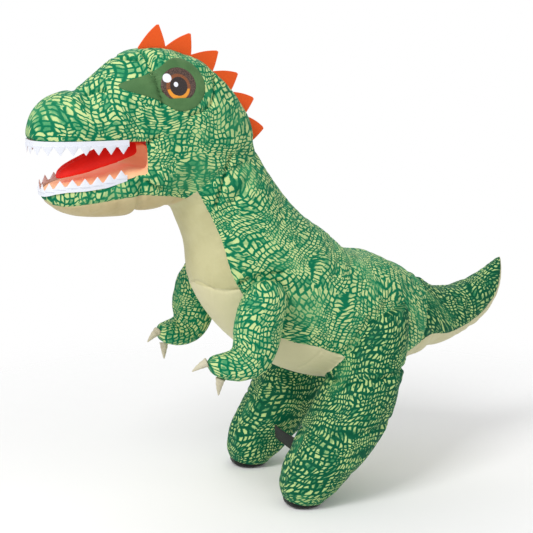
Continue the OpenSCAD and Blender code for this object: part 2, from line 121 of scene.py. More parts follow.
class Graph:
    """A material's node tree with one way to add a node."""

    def __init__(self, name: str) -> None:
        """Starts an empty material."""
        self.material = bpy.data.materials.new(name)
        self.material.use_nodes = True
        self.tree = self.material.node_tree
        self.tree.nodes.clear()

    def node(self, kind: str, settings: dict | None = None, values: dict | None = None) -> list[Wire]:
        """Adds a node.

        Args:
            kind: Blender's node type.
            settings: properties set before the sockets are used.
            values: socket name or index to a number, colour, vector or Wire.

        Returns:
            The node's outputs that are in use, as wires.
        """
        made = self.tree.nodes.new(kind)
        for key, value in (settings or {}).items():
            setattr(made, key, value)
        for key, value in (values or {}).items():
            self.feed(made.inputs[key], value)
        return [Wire(self, out) for out in made.outputs if out.enabled]

    def feed(self, socket: bpy.types.NodeSocket, value: "Wire | float | tuple") -> None:
        """Links a wire to a socket, or sets the socket's own value.

        Args:
            socket: input to be fed.
            value: wire, number, vector or colour.
        """
        if isinstance(value, Wire):
            self.tree.links.new(value.socket, socket)
        elif isinstance(value, tuple) and len(value) == 3 and socket.type == "RGBA":
            socket.default_value = (*value, 1.0)
        else:
            socket.default_value = value

    def cloth(self) -> Wire:
        """Flat place on the cloth, in metres."""
        return self.node("ShaderNodeUVMap", {"uv_map": "cloth"})[0]

    def spot(self) -> Wire:
        """Place in the object, in metres."""
        return self.node("ShaderNodeTexCoord")[3]

    def flat_noise(self, place: Wire, scale: float, detail: float, rough: float = 0.5) -> list[Wire]:
        """Value and colour of noise over the flat cloth."""
        return self.node("ShaderNodeTexNoise", {"noise_dimensions": "2D"},
                         {"Vector": place, "Scale": scale, "Detail": detail, "Roughness": rough})

    def mix(self, share: "Wire | float", first: "Wire | tuple", second: "Wire | tuple",
            how: str = "MIX") -> Wire:
        """Mixes two colours.

        Args:
            share: 0 gives the first, 1 the second.
            first: colour or wire.
            second: colour or wire.
            how: blend type.

        Returns:
            The mixed colour.
        """
        made = self.tree.nodes.new("ShaderNodeMix")
        made.data_type = "RGBA"
        made.blend_type = how
        for index, value in ((0, share), (6, first), (7, second)):
            self.feed(made.inputs[index], value)
        return Wire(self, made.outputs[2])

    def noise(self, place: Wire, scale: float, detail: float = 3.0, rough: float = 0.55) -> Wire:
        """Noise value between 0 and 1 at a place."""
        return self.node("ShaderNodeTexNoise", {"noise_dimensions": "3D"},
                         {"Vector": place, "Scale": scale, "Detail": detail, "Roughness": rough})[0]

    def bump(self, height: Wire, depth: float, strength: float = 1.0, under: Wire | None = None) -> Wire:
        """Bump normal from a height field, depth in metres."""
        values: dict = {"Height": height, "Distance": depth, "Strength": strength}
        if under is not None:
            values["Normal"] = under
        return self.node("ShaderNodeBump", None, values)[0]

    def surface(self, values: dict) -> bpy.types.Material:
        """Ends the graph in a Principled shader.

        Args:
            values: socket values of the shader.

        Returns:
            The finished material.
        """
        shader = self.node("ShaderNodeBsdfPrincipled", None, values)[0]
        self.node("ShaderNodeOutputMaterial", None, {"Surface": shader})
        return self.material


def srgb(red: float, green: float, blue: float) -> tuple[float, float, float]:
    """Linear colour from display values of 0 to 255."""
    return tuple(c / 12.92 if c <= 0.04045 else ((c + 0.055) / 1.055) ** 2.4
                 for c in (red / 255, green / 255, blue / 255))


# ---------------------------------------------------------------- finishes
@dataclass(frozen=True)
class ScalePrint:
    """Green cloth printed with a network of rounded scales; lengths in metres on the cloth."""

    name: str
    cell: float = 0.0108
    dark: tuple = (0, 112, 76)
    middle: tuple = (62, 150, 100)
    light: tuple = (200, 218, 148)
    cover: float = 0.02

    def make(self) -> bpy.types.Material:
        """Builds the material.

        Returns:
            The printed cloth.
        """
        g = Graph(self.name)
        flat = g.cloth()

        def pushed(base: Wire, scale: float, detail: float, reach: float) -> Wire:
            """Places pushed about by noise, at most by half the reach in metres."""
            push = g.flat_noise(flat, scale, detail)[1]
            return g.node("ShaderNodeVectorMath", {"operation": "MULTIPLY_ADD"},
                          {0: push, 1: (reach, reach, 0.0), 2: base})[0]

        wander = pushed(flat, 9.0, 1.5, 0.075)
        place = pushed(wander, 70.0, 2.0, 0.0042)

        def scales(stretch: tuple, random: float) -> tuple[Wire, Wire, Wire]:
            """Scale network: edge distance, distance from the middle and a random value."""
            spot = g.node("ShaderNodeVectorMath", {"operation": "MULTIPLY"}, {0: place, 1: stretch})[0]
            shared = {"Vector": spot, "Scale": 1.0 / self.cell, "Randomness": random}
            edge = g.node("ShaderNodeTexVoronoi", {"voronoi_dimensions": "2D", "feature": "DISTANCE_TO_EDGE"},
                          shared)[0]
            middle = g.node("ShaderNodeTexVoronoi", {"voronoi_dimensions": "2D", "feature": "F1"}, shared)
            value = g.node("ShaderNodeSeparateColor", None, {"Color": middle[1]})[0]
            return edge, middle[0], value

        grid = scales((0.86, 1.14, 1.0), 0.34)
        bars = scales((0.6, 1.4, 1.0), 0.5)
        small = scales((1.35, 1.4, 1.0), 0.6)
        use_bars = g.flat_noise(flat, 11.0, 2.0)[0].step(0.53, 0.57)
        use_small = g.flat_noise(wander, 17.0, 2.0)[0].step(0.57, 0.61)

        def choose(index: int) -> Wire:
            """One value of the three networks, by patch."""
            first = grid[index] * (1.0 - use_bars) + bars[index] * use_bars
            return first * (1.0 - use_small) + small[index] * use_small

        edge, middle, chance = choose(0), choose(1), choose(2)
        fray = g.flat_noise(flat, 260.0, 3.0)[0]
        mottle = g.flat_noise(flat, 38.0, 4.0)[0]
        fade = g.flat_noise(wander, 7.0, 2.0)[0]
        inside = (edge + (fray - 0.5) * 0.15 - self.cover).step(0.06, 0.24)
        ring = middle.step(0.16, 0.30)
        hollow = chance.step(0.86, 0.89)
        level = inside * (0.62 + 0.38 * chance.step(0.0, 0.6)) * (1.0 - hollow * (1.0 - ring) * 0.8)
        level = level * (0.62 + 0.46 * mottle.step(0.34, 0.62))
        ground = mottle.step(0.42, 0.72) * 0.35 * fade.step(0.45, 0.62)
        amount = (level + ground).least(1.0)
        cloth = g.mix(amount.step(0.0, 0.45), srgb(*self.dark), srgb(*self.middle))
        cloth = g.mix(amount.step(0.36, 0.86), cloth, srgb(*self.light))
        wash = fade.step(0.56, 0.68) * 0.42
        cloth = g.mix(wash, cloth, srgb(*self.middle))
        return g.surface({
            "Base Color": cloth, "Roughness": (0.46 + 0.16 * mottle), "Normal": weave(g, flat),
            "Specular IOR Level": 0.1, "Sheen Weight": 0.0})


def weave(g: Graph, flat: Wire, pitch: float = 0.0009, depth: float = 0.00012) -> Wire:
    """Fine plain weave and soft ripples of thin cloth, as a normal."""
    wrinkle = g.flat_noise(flat, 60.0, 3.0, 0.6)[0]
    waves = [g.node("ShaderNodeTexWave",
                    {"wave_type": "BANDS", "bands_direction": axis, "wave_profile": "SIN"},
                    {"Vector": flat, "Scale": 0.314 / pitch, "Distortion": 0.0})[1] for axis in ("X", "Y")]
    soft = g.bump(wrinkle, 0.0016, 0.55)
    return g.bump(waves[0] * waves[1], depth, 0.5, soft)


@dataclass(frozen=True)
class PlainCloth:
    """Plain dyed cloth with a soft mottle; painted_glow sets an emission in the cloth's own colour, painted
    light where the lamps reach too little.
    """

    name: str
    colour: tuple
    deep: tuple
    rough: float = 0.55
    sheen: float = 0.15
    lower: tuple | None = None
    split: float = 0.47
    # emission strength: painted light that brightens cloth lying in shade
    painted_glow: float = 0.0

    def make(self) -> bpy.types.Material:
        """Builds the material.

        Returns:
            The dyed cloth.
        """
        g = Graph(self.name)
        flat = g.cloth()
        tone = g.flat_noise(flat, 14.0, 5.0, 0.6)[0]
        grain = g.flat_noise(flat, 900.0, 2.0)[0]
        cloth = g.mix(tone.step(0.35, 0.7) * 0.5 + grain * 0.2, srgb(*self.colour), srgb(*self.deep))
        if self.lower:
            height = g.node("ShaderNodeSeparateXYZ", None, {"Vector": g.spot()})[2]
            below = height.step(self.split, self.split - 0.002)
            cloth = g.mix(below * (1.0 - grain * 0.2), cloth, srgb(*self.lower))
        # the emission below is painted light, not a lamp
        return g.surface({
            "Base Color": cloth, "Roughness": self.rough + 0.1 * tone, "Normal": weave(g, flat),
            "Specular IOR Level": 0.2, "Sheen Weight": self.sheen, "Sheen Roughness": 0.4,
            "Emission Color": cloth, "Emission Strength": self.painted_glow})


@dataclass(frozen=True)
class ThroatCloth:
    """Lining of the mouth's roof and back: dark red above, orange, then peach below; heights in metres. The
    dark red at the roof is the red lining with painted shade, and the whole lining glows as painted light.
    """

    name: str
    roof: float = 0.772
    low: float = 0.752

    def make(self) -> bpy.types.Material:
        """Builds the material.

        Returns:
            The lining.
        """
        g = Graph(self.name)
        flat = g.cloth()
        spot = g.spot()
        height = g.node("ShaderNodeSeparateXYZ", None, {"Vector": spot})[2]
        ragged = height + (g.noise(flat, 30.0, 3.0) - 0.5) * 0.012
        cloth = g.mix(ragged.step(self.low, self.low + 0.006), srgb(234, 178, 136), srgb(214, 84, 48))
        # dark red at the roof: the red lining darkened by painted shade at the top of the mouth
        cloth = g.mix(ragged.step(self.roof - 0.004, self.roof), cloth, srgb(150, 26, 20))
        # the emission is painted light that brightens the lining inside the shaded mouth
        return g.surface({"Base Color": cloth, "Roughness": 0.5 + g.noise(flat, 40.0, 2.0) * 0.1,
                          "Normal": weave(g, flat), "Specular IOR Level": 0.2,
                          "Emission Color": cloth, "Emission Strength": 0.24})


@dataclass(frozen=True)
class Felt:
    """Pressed felt with short fibres."""

    name: str
    colour: tuple
    deep: tuple

    def make(self) -> bpy.types.Material:
        """Builds the material.

        Returns:
            The felt.
        """
        g = Graph(self.name)
        spot = g.spot()
        fibre = g.noise(spot, 900.0, 4.0, 0.7)
        tone = g.noise(spot, 45.0, 3.0)
        cloth = g.mix(fibre.step(0.35, 0.7) * 0.45 + tone * 0.25, srgb(*self.colour), srgb(*self.deep))
        return g.surface({
            "Base Color": cloth, "Roughness": 0.82 + 0.15 * fibre, "Normal": g.bump(fibre, 0.0004, 0.7),
            "Specular IOR Level": 0.25, "Sheen Weight": 0.3, "Sheen Roughness": 0.5})


@dataclass(frozen=True)
class EyePrint:
    """Printed eye: dark iris with a rust ring, an orange crescent and two white glints; sizes in metres."""

    name: str

    def make(self) -> bpy.types.Material:
        """Builds the material.

        Returns:
            The printed cloth.
        """
        g = Graph(self.name)
        flat = g.cloth()
        across, height = g.node("ShaderNodeSeparateXYZ", None, {"Vector": flat})[:2]
        turn = g.node("ShaderNodeMath", {"operation": "ARCTAN2"}, {0: height, 1: across})[0]
        away = (across ** 2 + height ** 2) ** 0.5
        streak_at = g.node("ShaderNodeCombineXYZ", None, {0: turn * 3.2, 1: away * 60.0})[0]
        streak = g.flat_noise(streak_at, 6.0, 4.0)[0]

        def disc(y: float, z: float, radius: float, squash: float = 1.0) -> Wire:
            """Distance from a spot over its radius."""
            return (((across - y) ** 2 + ((height - z) / squash) ** 2) ** 0.5) / radius

        brown = g.mix(streak.step(0.38, 0.66), srgb(46, 28, 22), srgb(104, 78, 66))
        rust = g.mix(streak.step(0.35, 0.7), srgb(150, 84, 36), srgb(96, 52, 30))
        core = g.mix(streak.step(0.45, 0.75), srgb(24, 15, 14), srgb(74, 52, 48))
        ring = disc(-0.0015, -0.0045, 0.0245)
        cloth = g.mix(ring.step(1.03, 0.97), brown, rust)
        moon = disc(-0.0015, -0.006, 0.0225, 1.02).step(1.03, 0.98) * (height + 0.0085).step(0.001, -0.001)
        cloth = g.mix(moon, cloth, srgb(232, 150, 34))
        pupil = disc(-0.001, -0.0035, 0.0178)
        cloth = g.mix(pupil.step(1.04, 0.97), cloth, core)
        for y, z, radius in ((-0.0225, 0.0125, 0.0085), (-0.0065, 0.0005, 0.0045)):
            cloth = g.mix(disc(y, z, radius).step(1.06, 0.94), cloth, srgb(238, 240, 250))
        return g.surface({
            "Base Color": cloth, "Roughness": 0.42 + 0.1 * streak, "Normal": weave(g, flat),
            "Specular IOR Level": 0.5, "Coat Weight": 0.1, "Coat Roughness": 0.35})


@dataclass(frozen=True)
class Webbing:
    """Woven nylon webbing with diagonal ribs."""

    name: str
    colour: tuple
    deep: tuple

    def make(self) -> bpy.types.Material:
        """Builds the material.

        Returns:
            The webbing.
        """
        g = Graph(self.name)
        spot = g.spot()
        rib = g.node("ShaderNodeTexWave", {"wave_type": "BANDS", "bands_direction": "DIAGONAL"},
                     {"Vector": spot, "Scale": 150.0, "Distortion": 0.3, "Detail": 1.0})[1]
        fibre = g.noise(spot, 1400.0, 2.0)
        cloth = g.mix(rib * 0.6 + fibre * 0.4, srgb(*self.deep), srgb(*self.colour))
        return g.surface({
            "Base Color": cloth, "Roughness": 0.62 + 0.2 * fibre, "Normal": g.bump(rib, 0.0005, 0.6),
            "Specular IOR Level": 0.35, "Sheen Weight": 0.1})


@dataclass(frozen=True)
class Moulding:
    """Moulded plastic or metal with a fine grain and rubbed marks."""

    name: str
    colour: tuple
    deep: tuple
    rough: float = 0.45
    metallic: float = 0.0
    grain: float = 700.0

    def make(self) -> bpy.types.Material:
        """Builds the material.

        Returns:
            The moulded finish.
        """
        g = Graph(self.name)
        spot = g.spot()
        fine = g.noise(spot, self.grain, 3.0, 0.6)
        rub = g.noise(spot, 35.0, 5.0, 0.65)
        paint = g.mix(rub.step(0.4, 0.75) * 0.7 + fine * 0.2, srgb(*self.colour), srgb(*self.deep))
        return g.surface({
            "Base Color": paint, "Metallic": self.metallic, "Roughness": self.rough + 0.18 * rub,
            "Normal": g.bump(fine, 0.00015, 0.5)})


class Cloth(Enum):
    """The cloths that the skins are cut from, with a darker copy of the print as painted shade."""

    PRINT = "printed_cloth"
    # darker copy of the printed cloth for the legs and tail: painted shade
    LEG_PRINT = "leg_print"
    PALE = "pale_cloth"
    CHIN = "chin_cloth"
    LINING = "peach_cloth"
    RED = "red_cloth"
    THROAT = "throat_cloth"
    BLACK = "black_webbing"


def finishes() -> dict[str, bpy.types.Material]:
    """Makes every material once.

    Returns:
        Material by finish name.
    """
    made = {
        Cloth.PRINT.value: ScalePrint("printed_cloth"),
        # the same print with darker colours and fewer pale scales: painted shade on the legs and tail
        Cloth.LEG_PRINT.value: ScalePrint("leg_print", cell=0.0104, dark=(0, 84, 56), middle=(40, 122, 80),
                                          light=(182, 206, 134), cover=0.07),
        Cloth.PALE.value: PlainCloth("pale_cloth", (199, 194, 150), (184, 178, 132), lower=(212, 206, 166)),
        Cloth.CHIN.value: PlainCloth("chin_cloth", (206, 190, 146), (190, 170, 124)),
        # the peach lining and the red tongue glow: painted light inside the shaded mouth
        Cloth.LINING.value: PlainCloth("peach_cloth", (236, 186, 142), (228, 150, 108), painted_glow=0.26),
        Cloth.RED.value: PlainCloth("red_cloth", (214, 34, 26), (188, 22, 18), sheen=0.0, painted_glow=0.4),
        Cloth.THROAT.value: ThroatCloth("throat_cloth"),
        Cloth.BLACK.value: PlainCloth("black_cloth", (14, 17, 16), (6, 8, 8)),
        "claw_cloth": PlainCloth("claw_cloth", (206, 200, 176), (176, 166, 138)),
        "orange_felt": Felt("orange_felt", (246, 96, 26), (236, 76, 16)),
        "white_felt": Felt("white_felt", (232, 235, 243), (212, 214, 226)),
        "olive_cloth": PlainCloth("olive_cloth", (88, 126, 78), (56, 98, 56), sheen=0.0),
        "brown_print": EyePrint("brown_print"),
        "webbing": Webbing("webbing", (22, 25, 25), (5, 7, 7)),
        "black_plastic": Moulding("black_plastic", (30, 31, 33), (18, 18, 20)),
        "grey_plastic": Moulding("grey_plastic", (206, 208, 212), (184, 187, 192), 0.38),
        "motor_steel": Moulding("motor_steel", (178, 180, 184), (140, 142, 148), 0.3, 1.0, 1200.0),
        "nickel": Moulding("nickel", (196, 194, 186), (160, 158, 150), 0.25, 1.0),
        "cell_jacket": Moulding("cell_jacket", (196, 134, 46), (168, 108, 34), 0.3),
        "red_plastic": Moulding("red_plastic", (190, 30, 24), (160, 20, 18), 0.35),
    }
    return {key: finish.make() for key, finish in made.items()}


# ---------------------------------------------------------------- lofted forms
def ease(value: Array) -> Array:
    """Smooth step from 0 to 1."""
    held = np.clip(value, 0, 1)
    return held * held * (3 - 2 * held)


def spow(value: Array, power: float | Array) -> Array:
    """Power that keeps the sign."""
    return np.sign(value) * np.abs(value) ** power


@dataclass
class Loft:
    """A soft form given by sections along a bent line.

    Rows are x, y, z, half width, up and down in mm, and pitch in degrees.
    """

    rows: Sequence[Sequence[float]]
    power: float = 2.2
    steps: int = 8

    def __post_init__(self) -> None:
        """Works out the dense sections and their distances along the line."""
        self.table = np.array(self.rows, float)
        self.last = len(self.table) - 1
        self.grid = np.linspace(0, self.last, self.last * self.steps + 1)
        self.dense = self.section(self.grid)
        gaps = np.linalg.norm(np.diff(self.dense[:, :3], axis=0), axis=1)
        self.along = np.concatenate([[0], np.cumsum(gaps)])

    def section(self, place: Array) -> Array:
        """Section values at places along the rows, by smooth interpolation."""
        place = np.clip(np.asarray(place, float), 0, self.last)
        low = np.minimum(place.astype(int), self.last - 1)
        f = (place - low)[:, None]
        a, b = self.table[np.maximum(low - 1, 0)], self.table[low]
        c, d = self.table[low + 1], self.table[np.minimum(low + 2, self.last)]
        return 0.5 * (2 * b + (c - a) * f + (2 * a - 5 * b + 4 * c - d) * f ** 2
                      + (3 * b - a - 3 * c + d) * f ** 3)

    @property
    def low_power(self) -> float:
        """Roundness of the lower half."""
        return self.power + 0.6 if self.power > 2.5 else self.power

    def point(self, place: Array, angle: Array) -> Array:
        """Points on the form; angle 0 is its left side and 90 degrees its top or back."""
        row = self.section(place)
        turn = np.radians(np.asarray(angle, float))
        cos, sin = np.cos(turn), np.sin(turn)
        out = row[:, 3] * spow(cos, 2 / self.power)
        above, below = spow(sin, 2 / self.power), spow(sin, 2 / self.low_power)
        rise = np.where(sin >= 0, row[:, 4] * above, row[:, 5] * below)
        tip = np.radians(row[:, 6])
        return np.stack([row[:, 0] + out, row[:, 1] + rise * np.cos(tip), row[:, 2] + rise * np.sin(tip)], -1)

    def closed(self, name: str, shrink: float = 0.0, around: int = 48,
               flip: bool = False) -> bpy.types.Object:
        """Closed mesh of the form.

        Args:
            name: object name.
            shrink: how far the surface is drawn in, in mm.
            around: points round a section.
            flip: mirror the form to the right side.

        Returns:
            The mesh object, in metres.
        """
        places = np.linspace(0, self.last, self.last * 4 + 1)
        angles = np.arange(around) * 360 / around
        grid = self.point(np.repeat(places, around), np.tile(angles, len(places)))
        grid = grid.reshape(len(places), around, 3)
        centre = self.section(places)[:, None, :3]
        out = grid - centre
        size = np.linalg.norm(out, axis=2, keepdims=True)
        grid = grid - out / np.maximum(size, 1e-6) * np.minimum(shrink, size * 0.5)
        if flip:
            grid = grid * np.array([-1, 1, 1])
        return outward(new_mesh(name, grid.reshape(-1, 3) * MM, tube_faces(len(places), around)))

    def locate(self, points: Array) -> tuple[Array, Array, Array]:
        """Finds points against the form.

        Args:
            points: places in mm.

        Returns:
            Place along the form, angle round it and rough height above its surface.
        """
        best = np.full(len(points), np.inf)
        place = np.zeros(len(points))
        dense = self.dense
        pitch = np.radians(dense[:, 6])
        normal = np.stack([np.zeros_like(pitch), -np.sin(pitch), np.cos(pitch)], -1)
        ahead = [(points - dense[i, :3]) @ normal[i] for i in range(len(dense))]
        for i in range(len(dense) - 1):
            cross = (ahead[i] <= 0) & (ahead[i + 1] > 0) | (ahead[i] > 0) & (ahead[i + 1] <= 0)
            cross &= ahead[i] * ahead[i + 1] <= 0
            if not cross.any():
                continue
            gap = ahead[i] - ahead[i + 1]
            share = ahead[i] / np.where(np.abs(gap) < TINY, TINY, gap)
            middle = dense[i, :3] + (dense[i + 1, :3] - dense[i, :3]) * np.clip(share, 0, 1)[:, None]
            far = np.linalg.norm(points - middle, axis=1)
            better = cross & (far < best)
            best[better] = far[better]
            place[better] = self.grid[i] + share[better] * (self.grid[i + 1] - self.grid[i])
        lost = ~np.isfinite(best)
        from_start, from_end = (np.linalg.norm(points - dense[end, :3], axis=1) for end in (0, -1))
        start = from_start < from_end
        place[lost & ~start] = self.last
        over = np.where(lost, np.where(start, np.abs(ahead[0]), np.abs(ahead[-1])), 0)
        row = self.section(place)
        tip = np.radians(row[:, 6])
        offset = points - row[:, :3]
        across = offset[:, 0]
        rise = offset[:, 1] * np.cos(tip) + offset[:, 2] * np.sin(tip)
        tall = np.where(rise >= 0, row[:, 4], row[:, 5])
        power = np.where(rise >= 0, self.power, self.low_power)
        reach = (np.abs(across / row[:, 3]) ** self.power + np.abs(rise / tall) ** power) ** (1 / self.power)
        angle = np.degrees(np.arctan2(rise, across))
        radius = np.hypot(across, rise)
        height = radius * (1 - 1 / np.maximum(reach, 1e-3))
        return place, angle, np.maximum(height, over)

    def cloth_place(self, place: Array, angle: Array, middle: float) -> Array:
        """Flat cloth coordinates in metres: along the form and round it from a middle angle."""
        row = self.section(place)
        radius = row[:, 3] * 0.5 + (row[:, 4] + row[:, 5]) * 0.25
        turn = (angle - middle + 180) % 360 - 180
        return np.stack([np.interp(place, self.grid, self.along), np.radians(turn) * radius], -1) * MM


def upright(rows: Iterable[Sequence[float]]) -> list[list[float]]:
    """Rows of y, z, half width, up and down for a form whose sections stand square to Y."""
    return [[0, y, z, a, up, down, 90] for y, z, a, up, down in rows]


TRUNK = Loft([
    [0, -178, 690, 92, 107, 107, 28], [0, -132, 607, 106, 116, 117, 27], [0, -98, 531, 130, 140, 143, 32],
    [0, -36, 458, 150, 154, 156, 45], [0, 45, 395, 160, 150, 150, 62], [0, 130, 370, 158, 142, 142, 80],
    [0, 215, 370, 138, 132, 126, 96], [0, 290, 367, 106, 106, 102, 105]])
BACKBONE = Loft([[0, -238, 800, 92, 107, 107, 28], *TRUNK.rows, [0, 380, 355, 96, 96, 92, 112]])
TAIL = Loft([
    [0, 214, 376, 36, 84, 84, 96], [0, 222, 375, 68, 88, 88, 97], [0, 245, 372, 90, 92, 92, 99],
    [0, 290, 366, 99, 96, 96, 103], [0, 318, 360, 94, 90, 86, 103], [0, 365, 345, 75, 71, 68, 100],
    [0, 420, 350, 61, 58, 57, 102], [0, 468, 369, 50, 50, 50, 116], [0, 505, 398, 38, 38, 37, 132],
    [0, 528, 430, 23, 24, 22, 146], [0, 542, 458, 9, 10, 9, 154], [0, 545, 464, 3, 3, 3, 154]])
SNOUT = Loft(upright([
    [-562, 792, 16, 6, 3], [-558, 788, 30, 24, 5], [-547, 785, 47, 54, 7], [-520, 784, 66, 80, 8],
    [-482, 784, 78, 92, 8], [-455, 784, 83, 93, 8], [-420, 784, 87, 118, 9], [-375, 785, 90, 153, 10],
    [-350, 785, 92, 165, 12]]), 2.6)
SKULL = Loft(upright([
    [-350, 785, 92, 165, 150], [-326, 785, 94, 170, 151], [-298, 786, 97, 171, 149],
    [-270, 786, 98, 167, 140],
    [-236, 786, 98, 156, 118], [-205, 785, 95, 143, 94], [-158, 777, 86, 109, 68], [-116, 764, 64, 68, 50],
    [-96, 750, 36, 34, 28], [-90, 744, 12, 10, 9]]), 2.6)
JAW = Loft(upright([
    [-538, 676, 14, 3, 7], [-534, 679, 27, 4, 18], [-524, 683, 42, 6, 31], [-505, 687, 57, 9, 45],
    [-470, 689, 70, 14, 56], [-430, 694, 77, 16, 65], [-395, 704, 80, 16, 76], [-370, 711, 80, 14, 83],
    [-358, 714, 73, 12, 74], [-335, 715, 70, 7, 72], [-312, 709, 60, 5, 62], [-305, 702, 38, 4, 40]]), 2.6)
TONGUE = Loft(upright([
    [-507, 708, 8, 2, 2], [-502, 710, 19, 6, 5], [-484, 715, 30, 10, 8], [-450, 723, 37, 14, 10],
    [-410, 733, 40, 15, 10], [-372, 742, 36, 12, 9], [-350, 746, 24, 7, 6], [-345, 747, 10, 3, 3]]))
LEG = Loft([
    [120, 160, 400, 56, 66, 66, 14], [126, 146, 345, 66, 76, 76, 12], [134, 125, 290, 74, 82, 82, 8],
    [140, 100, 235, 79, 86, 87, 4], [142, 71, 173, 82, 89, 93, 0], [142, 41, 113, 81, 77, 95, 0],
    [141, 19, 79, 77, 61, 91, 0], [140, 0, 44, 69, 40, 81, 0], [140, -18, 18, 56, 30, 59, 0],
    [140, -30, 7, 46, 38, 45, 0], [140, -33, 3.6, 41, 39, 39, 0]])
ARM = Loft([
    [156, -128, 496, 8, 9, 9, 0], [158, -128, 491, 24, 27, 27, 0], [163, -129, 474, 36, 43, 43, 0],
    [166, -138, 446, 41, 53, 52, 0], [167, -147, 410, 41, 54, 53, 0], [168, -155, 372, 40, 51, 49, -14],
    [165, -168, 342, 39, 45, 43, -42], [159, -190, 328, 37, 35, 33, -76], [153, -214, 327, 34, 30, 28, -90],
    [148, -238, 329, 26, 22, 21, -90], [145, -249, 331, 10, 8, 8, -90]])
CLAWS = ((140, -251, 334, -0.35, -0.85, -0.42), (158, -228, 300, -0.25, -0.12, -0.96))
NAPE = Loft([
    [0, -150, 628, 94, 104, 96, 30], [0, -182, 672, 97, 104, 92, 50], [0, -226, 706, 97, 92, 60, 66],
    [0, -262, 738, 96, 60, 40, 84], [0, -300, 752, 92, 40, 30, 90]])
FLIP = np.array([-1.0, 1.0, 1.0])
BELLY_ANGLE, BELLY_FLARE = 51.0, 13.0
BIB_HEIGHT = 470.0
HINGE = np.array([0.0, -348.0, 745.0])
JAW_WAY = np.array([0.0, -0.88, -0.48])
CHIN_LINE = ((-540, 668), (-524, 656), (-508, 654), (-464, 659), (-397, 668), (-347, 671), (-290, 664),
             (-234, 648), (-150, 640))
LIP_LOW = ((-540, 676), (-524, 683), (-505, 687), (-470, 689), (-430, 694), (-395, 704), (-370, 711),
           (-350, 714), (-300, 716))
FAN = np.array([-161.0, 60.0, 400.0])
FAN_SIDE = -100.0
FLANGE = -161.2
LEG_TOP = 430.0
HEAD_LOW = 600.0
BIB_ROW = 4.0


# ---------------------------------------------------------------- mesh helpers
def placed(name: str, data: bpy.types.ID) -> bpy.types.Object:
    """Puts data in the scene as an object."""
    obj = bpy.data.objects.new(name, data)
    bpy.context.scene.collection.objects.link(obj)
    return obj


def new_mesh(name: str, points: Array, faces: Sequence[Sequence[int]],
             edges: Sequence[tuple[int, int]] = ()) -> bpy.types.Object:
    """Adds a mesh object, its place in its mesh."""
    mesh = bpy.data.meshes.new(name)
    mesh.from_pydata([tuple(map(float, p)) for p in points], list(edges), [tuple(f) for f in faces])
    mesh.update()
    return placed(name, mesh)


def tube_faces(rings: int, around: int) -> list[tuple[int, ...]]:
    """Faces of a tube of rings, closed by one face at each end."""
    faces = [(i * around + j, i * around + (j + 1) % around, (i + 1) * around + (j + 1) % around,
              (i + 1) * around + j) for i in range(rings - 1) for j in range(around)]
    return faces + [tuple(range(around)), tuple((rings - 1) * around + j for j in range(around))]


def outward(obj: bpy.types.Object, weld: float = 0.0) -> bpy.types.Object:
    """Turns every face outward.

    Args:
        obj: mesh object.
        weld: points nearer than this, in metres, are joined first.

    Returns:
        The same object.
    """
    tidy = bmesh.new()
    tidy.from_mesh(obj.data)
    if weld:
        bmesh.ops.remove_doubles(tidy, verts=tidy.verts, dist=weld)
    bmesh.ops.recalc_face_normals(tidy, faces=tidy.faces)
    tidy.to_mesh(obj.data)
    tidy.free()
    return obj


def joined(name: str, parts: Sequence[bpy.types.Object]) -> bpy.types.Object:
    """Joins meshes into one object and drops them.

    Args:
        name: name of the new object.
        parts: meshes to join, in order.

    Returns:
        The joined mesh.
    """
    made = bmesh.new()
    for part in parts:
        made.from_mesh(part.data)
    mesh = bpy.data.meshes.new(name)
    made.to_mesh(mesh)
    made.free()
    for part in parts:
        drop(part)
    return placed(name, mesh)


def read(items: bpy.types.bpy_prop_collection, key: str, width: int = 1, kind: type = float) -> Array:
    """One property of every item.

    Args:
        items: vertices, edges, loops, polygons or attribute values.
        key: property name.
        width: numbers in one property.
        kind: type of the numbers.

    Returns:
        One row for each item.
    """
    out = np.empty(len(items) * width, kind)
    items.foreach_get(key, out)
    return out.reshape(-1, width) if width > 1 else out


def drop(obj: bpy.types.Object) -> None:
    """Removes a scratch object and its data."""
    data = obj.data
    bpy.data.objects.remove(obj)
    if isinstance(data, bpy.types.Mesh):
        bpy.data.meshes.remove(data)


def bake(obj: bpy.types.Object) -> bpy.types.Object:
    """Turns an object's modifiers into a plain mesh."""
    bpy.context.view_layer.update()
    graph = bpy.context.evaluated_depsgraph_get()
    mesh = bpy.data.meshes.new_from_object(obj.evaluated_get(graph), preserve_all_data_layers=True,
                                           depsgraph=graph)
    old = obj.data
    obj.modifiers.clear()
    obj.data = mesh
    bpy.data.meshes.remove(old)
    mesh.name = obj.name
    return obj


def coordinates(mesh: bpy.types.Mesh) -> Array:
    """Vertex places in metres."""
    return read(mesh.vertices, "co", 3)


def set_coordinates(mesh: bpy.types.Mesh, points: Array) -> None:
    """Writes vertex places."""
    mesh.vertices.foreach_set("co", np.ascontiguousarray(points, dtype=float).ravel())
    mesh.update()


def edge_pairs(mesh: bpy.types.Mesh) -> Array:
    """Vertex numbers of every edge."""
    return read(mesh.edges, "vertices", 2, int)


def normals(mesh: bpy.types.Mesh) -> Array:
    """Vertex normals."""
    return read(mesh.vertices, "normal", 3)


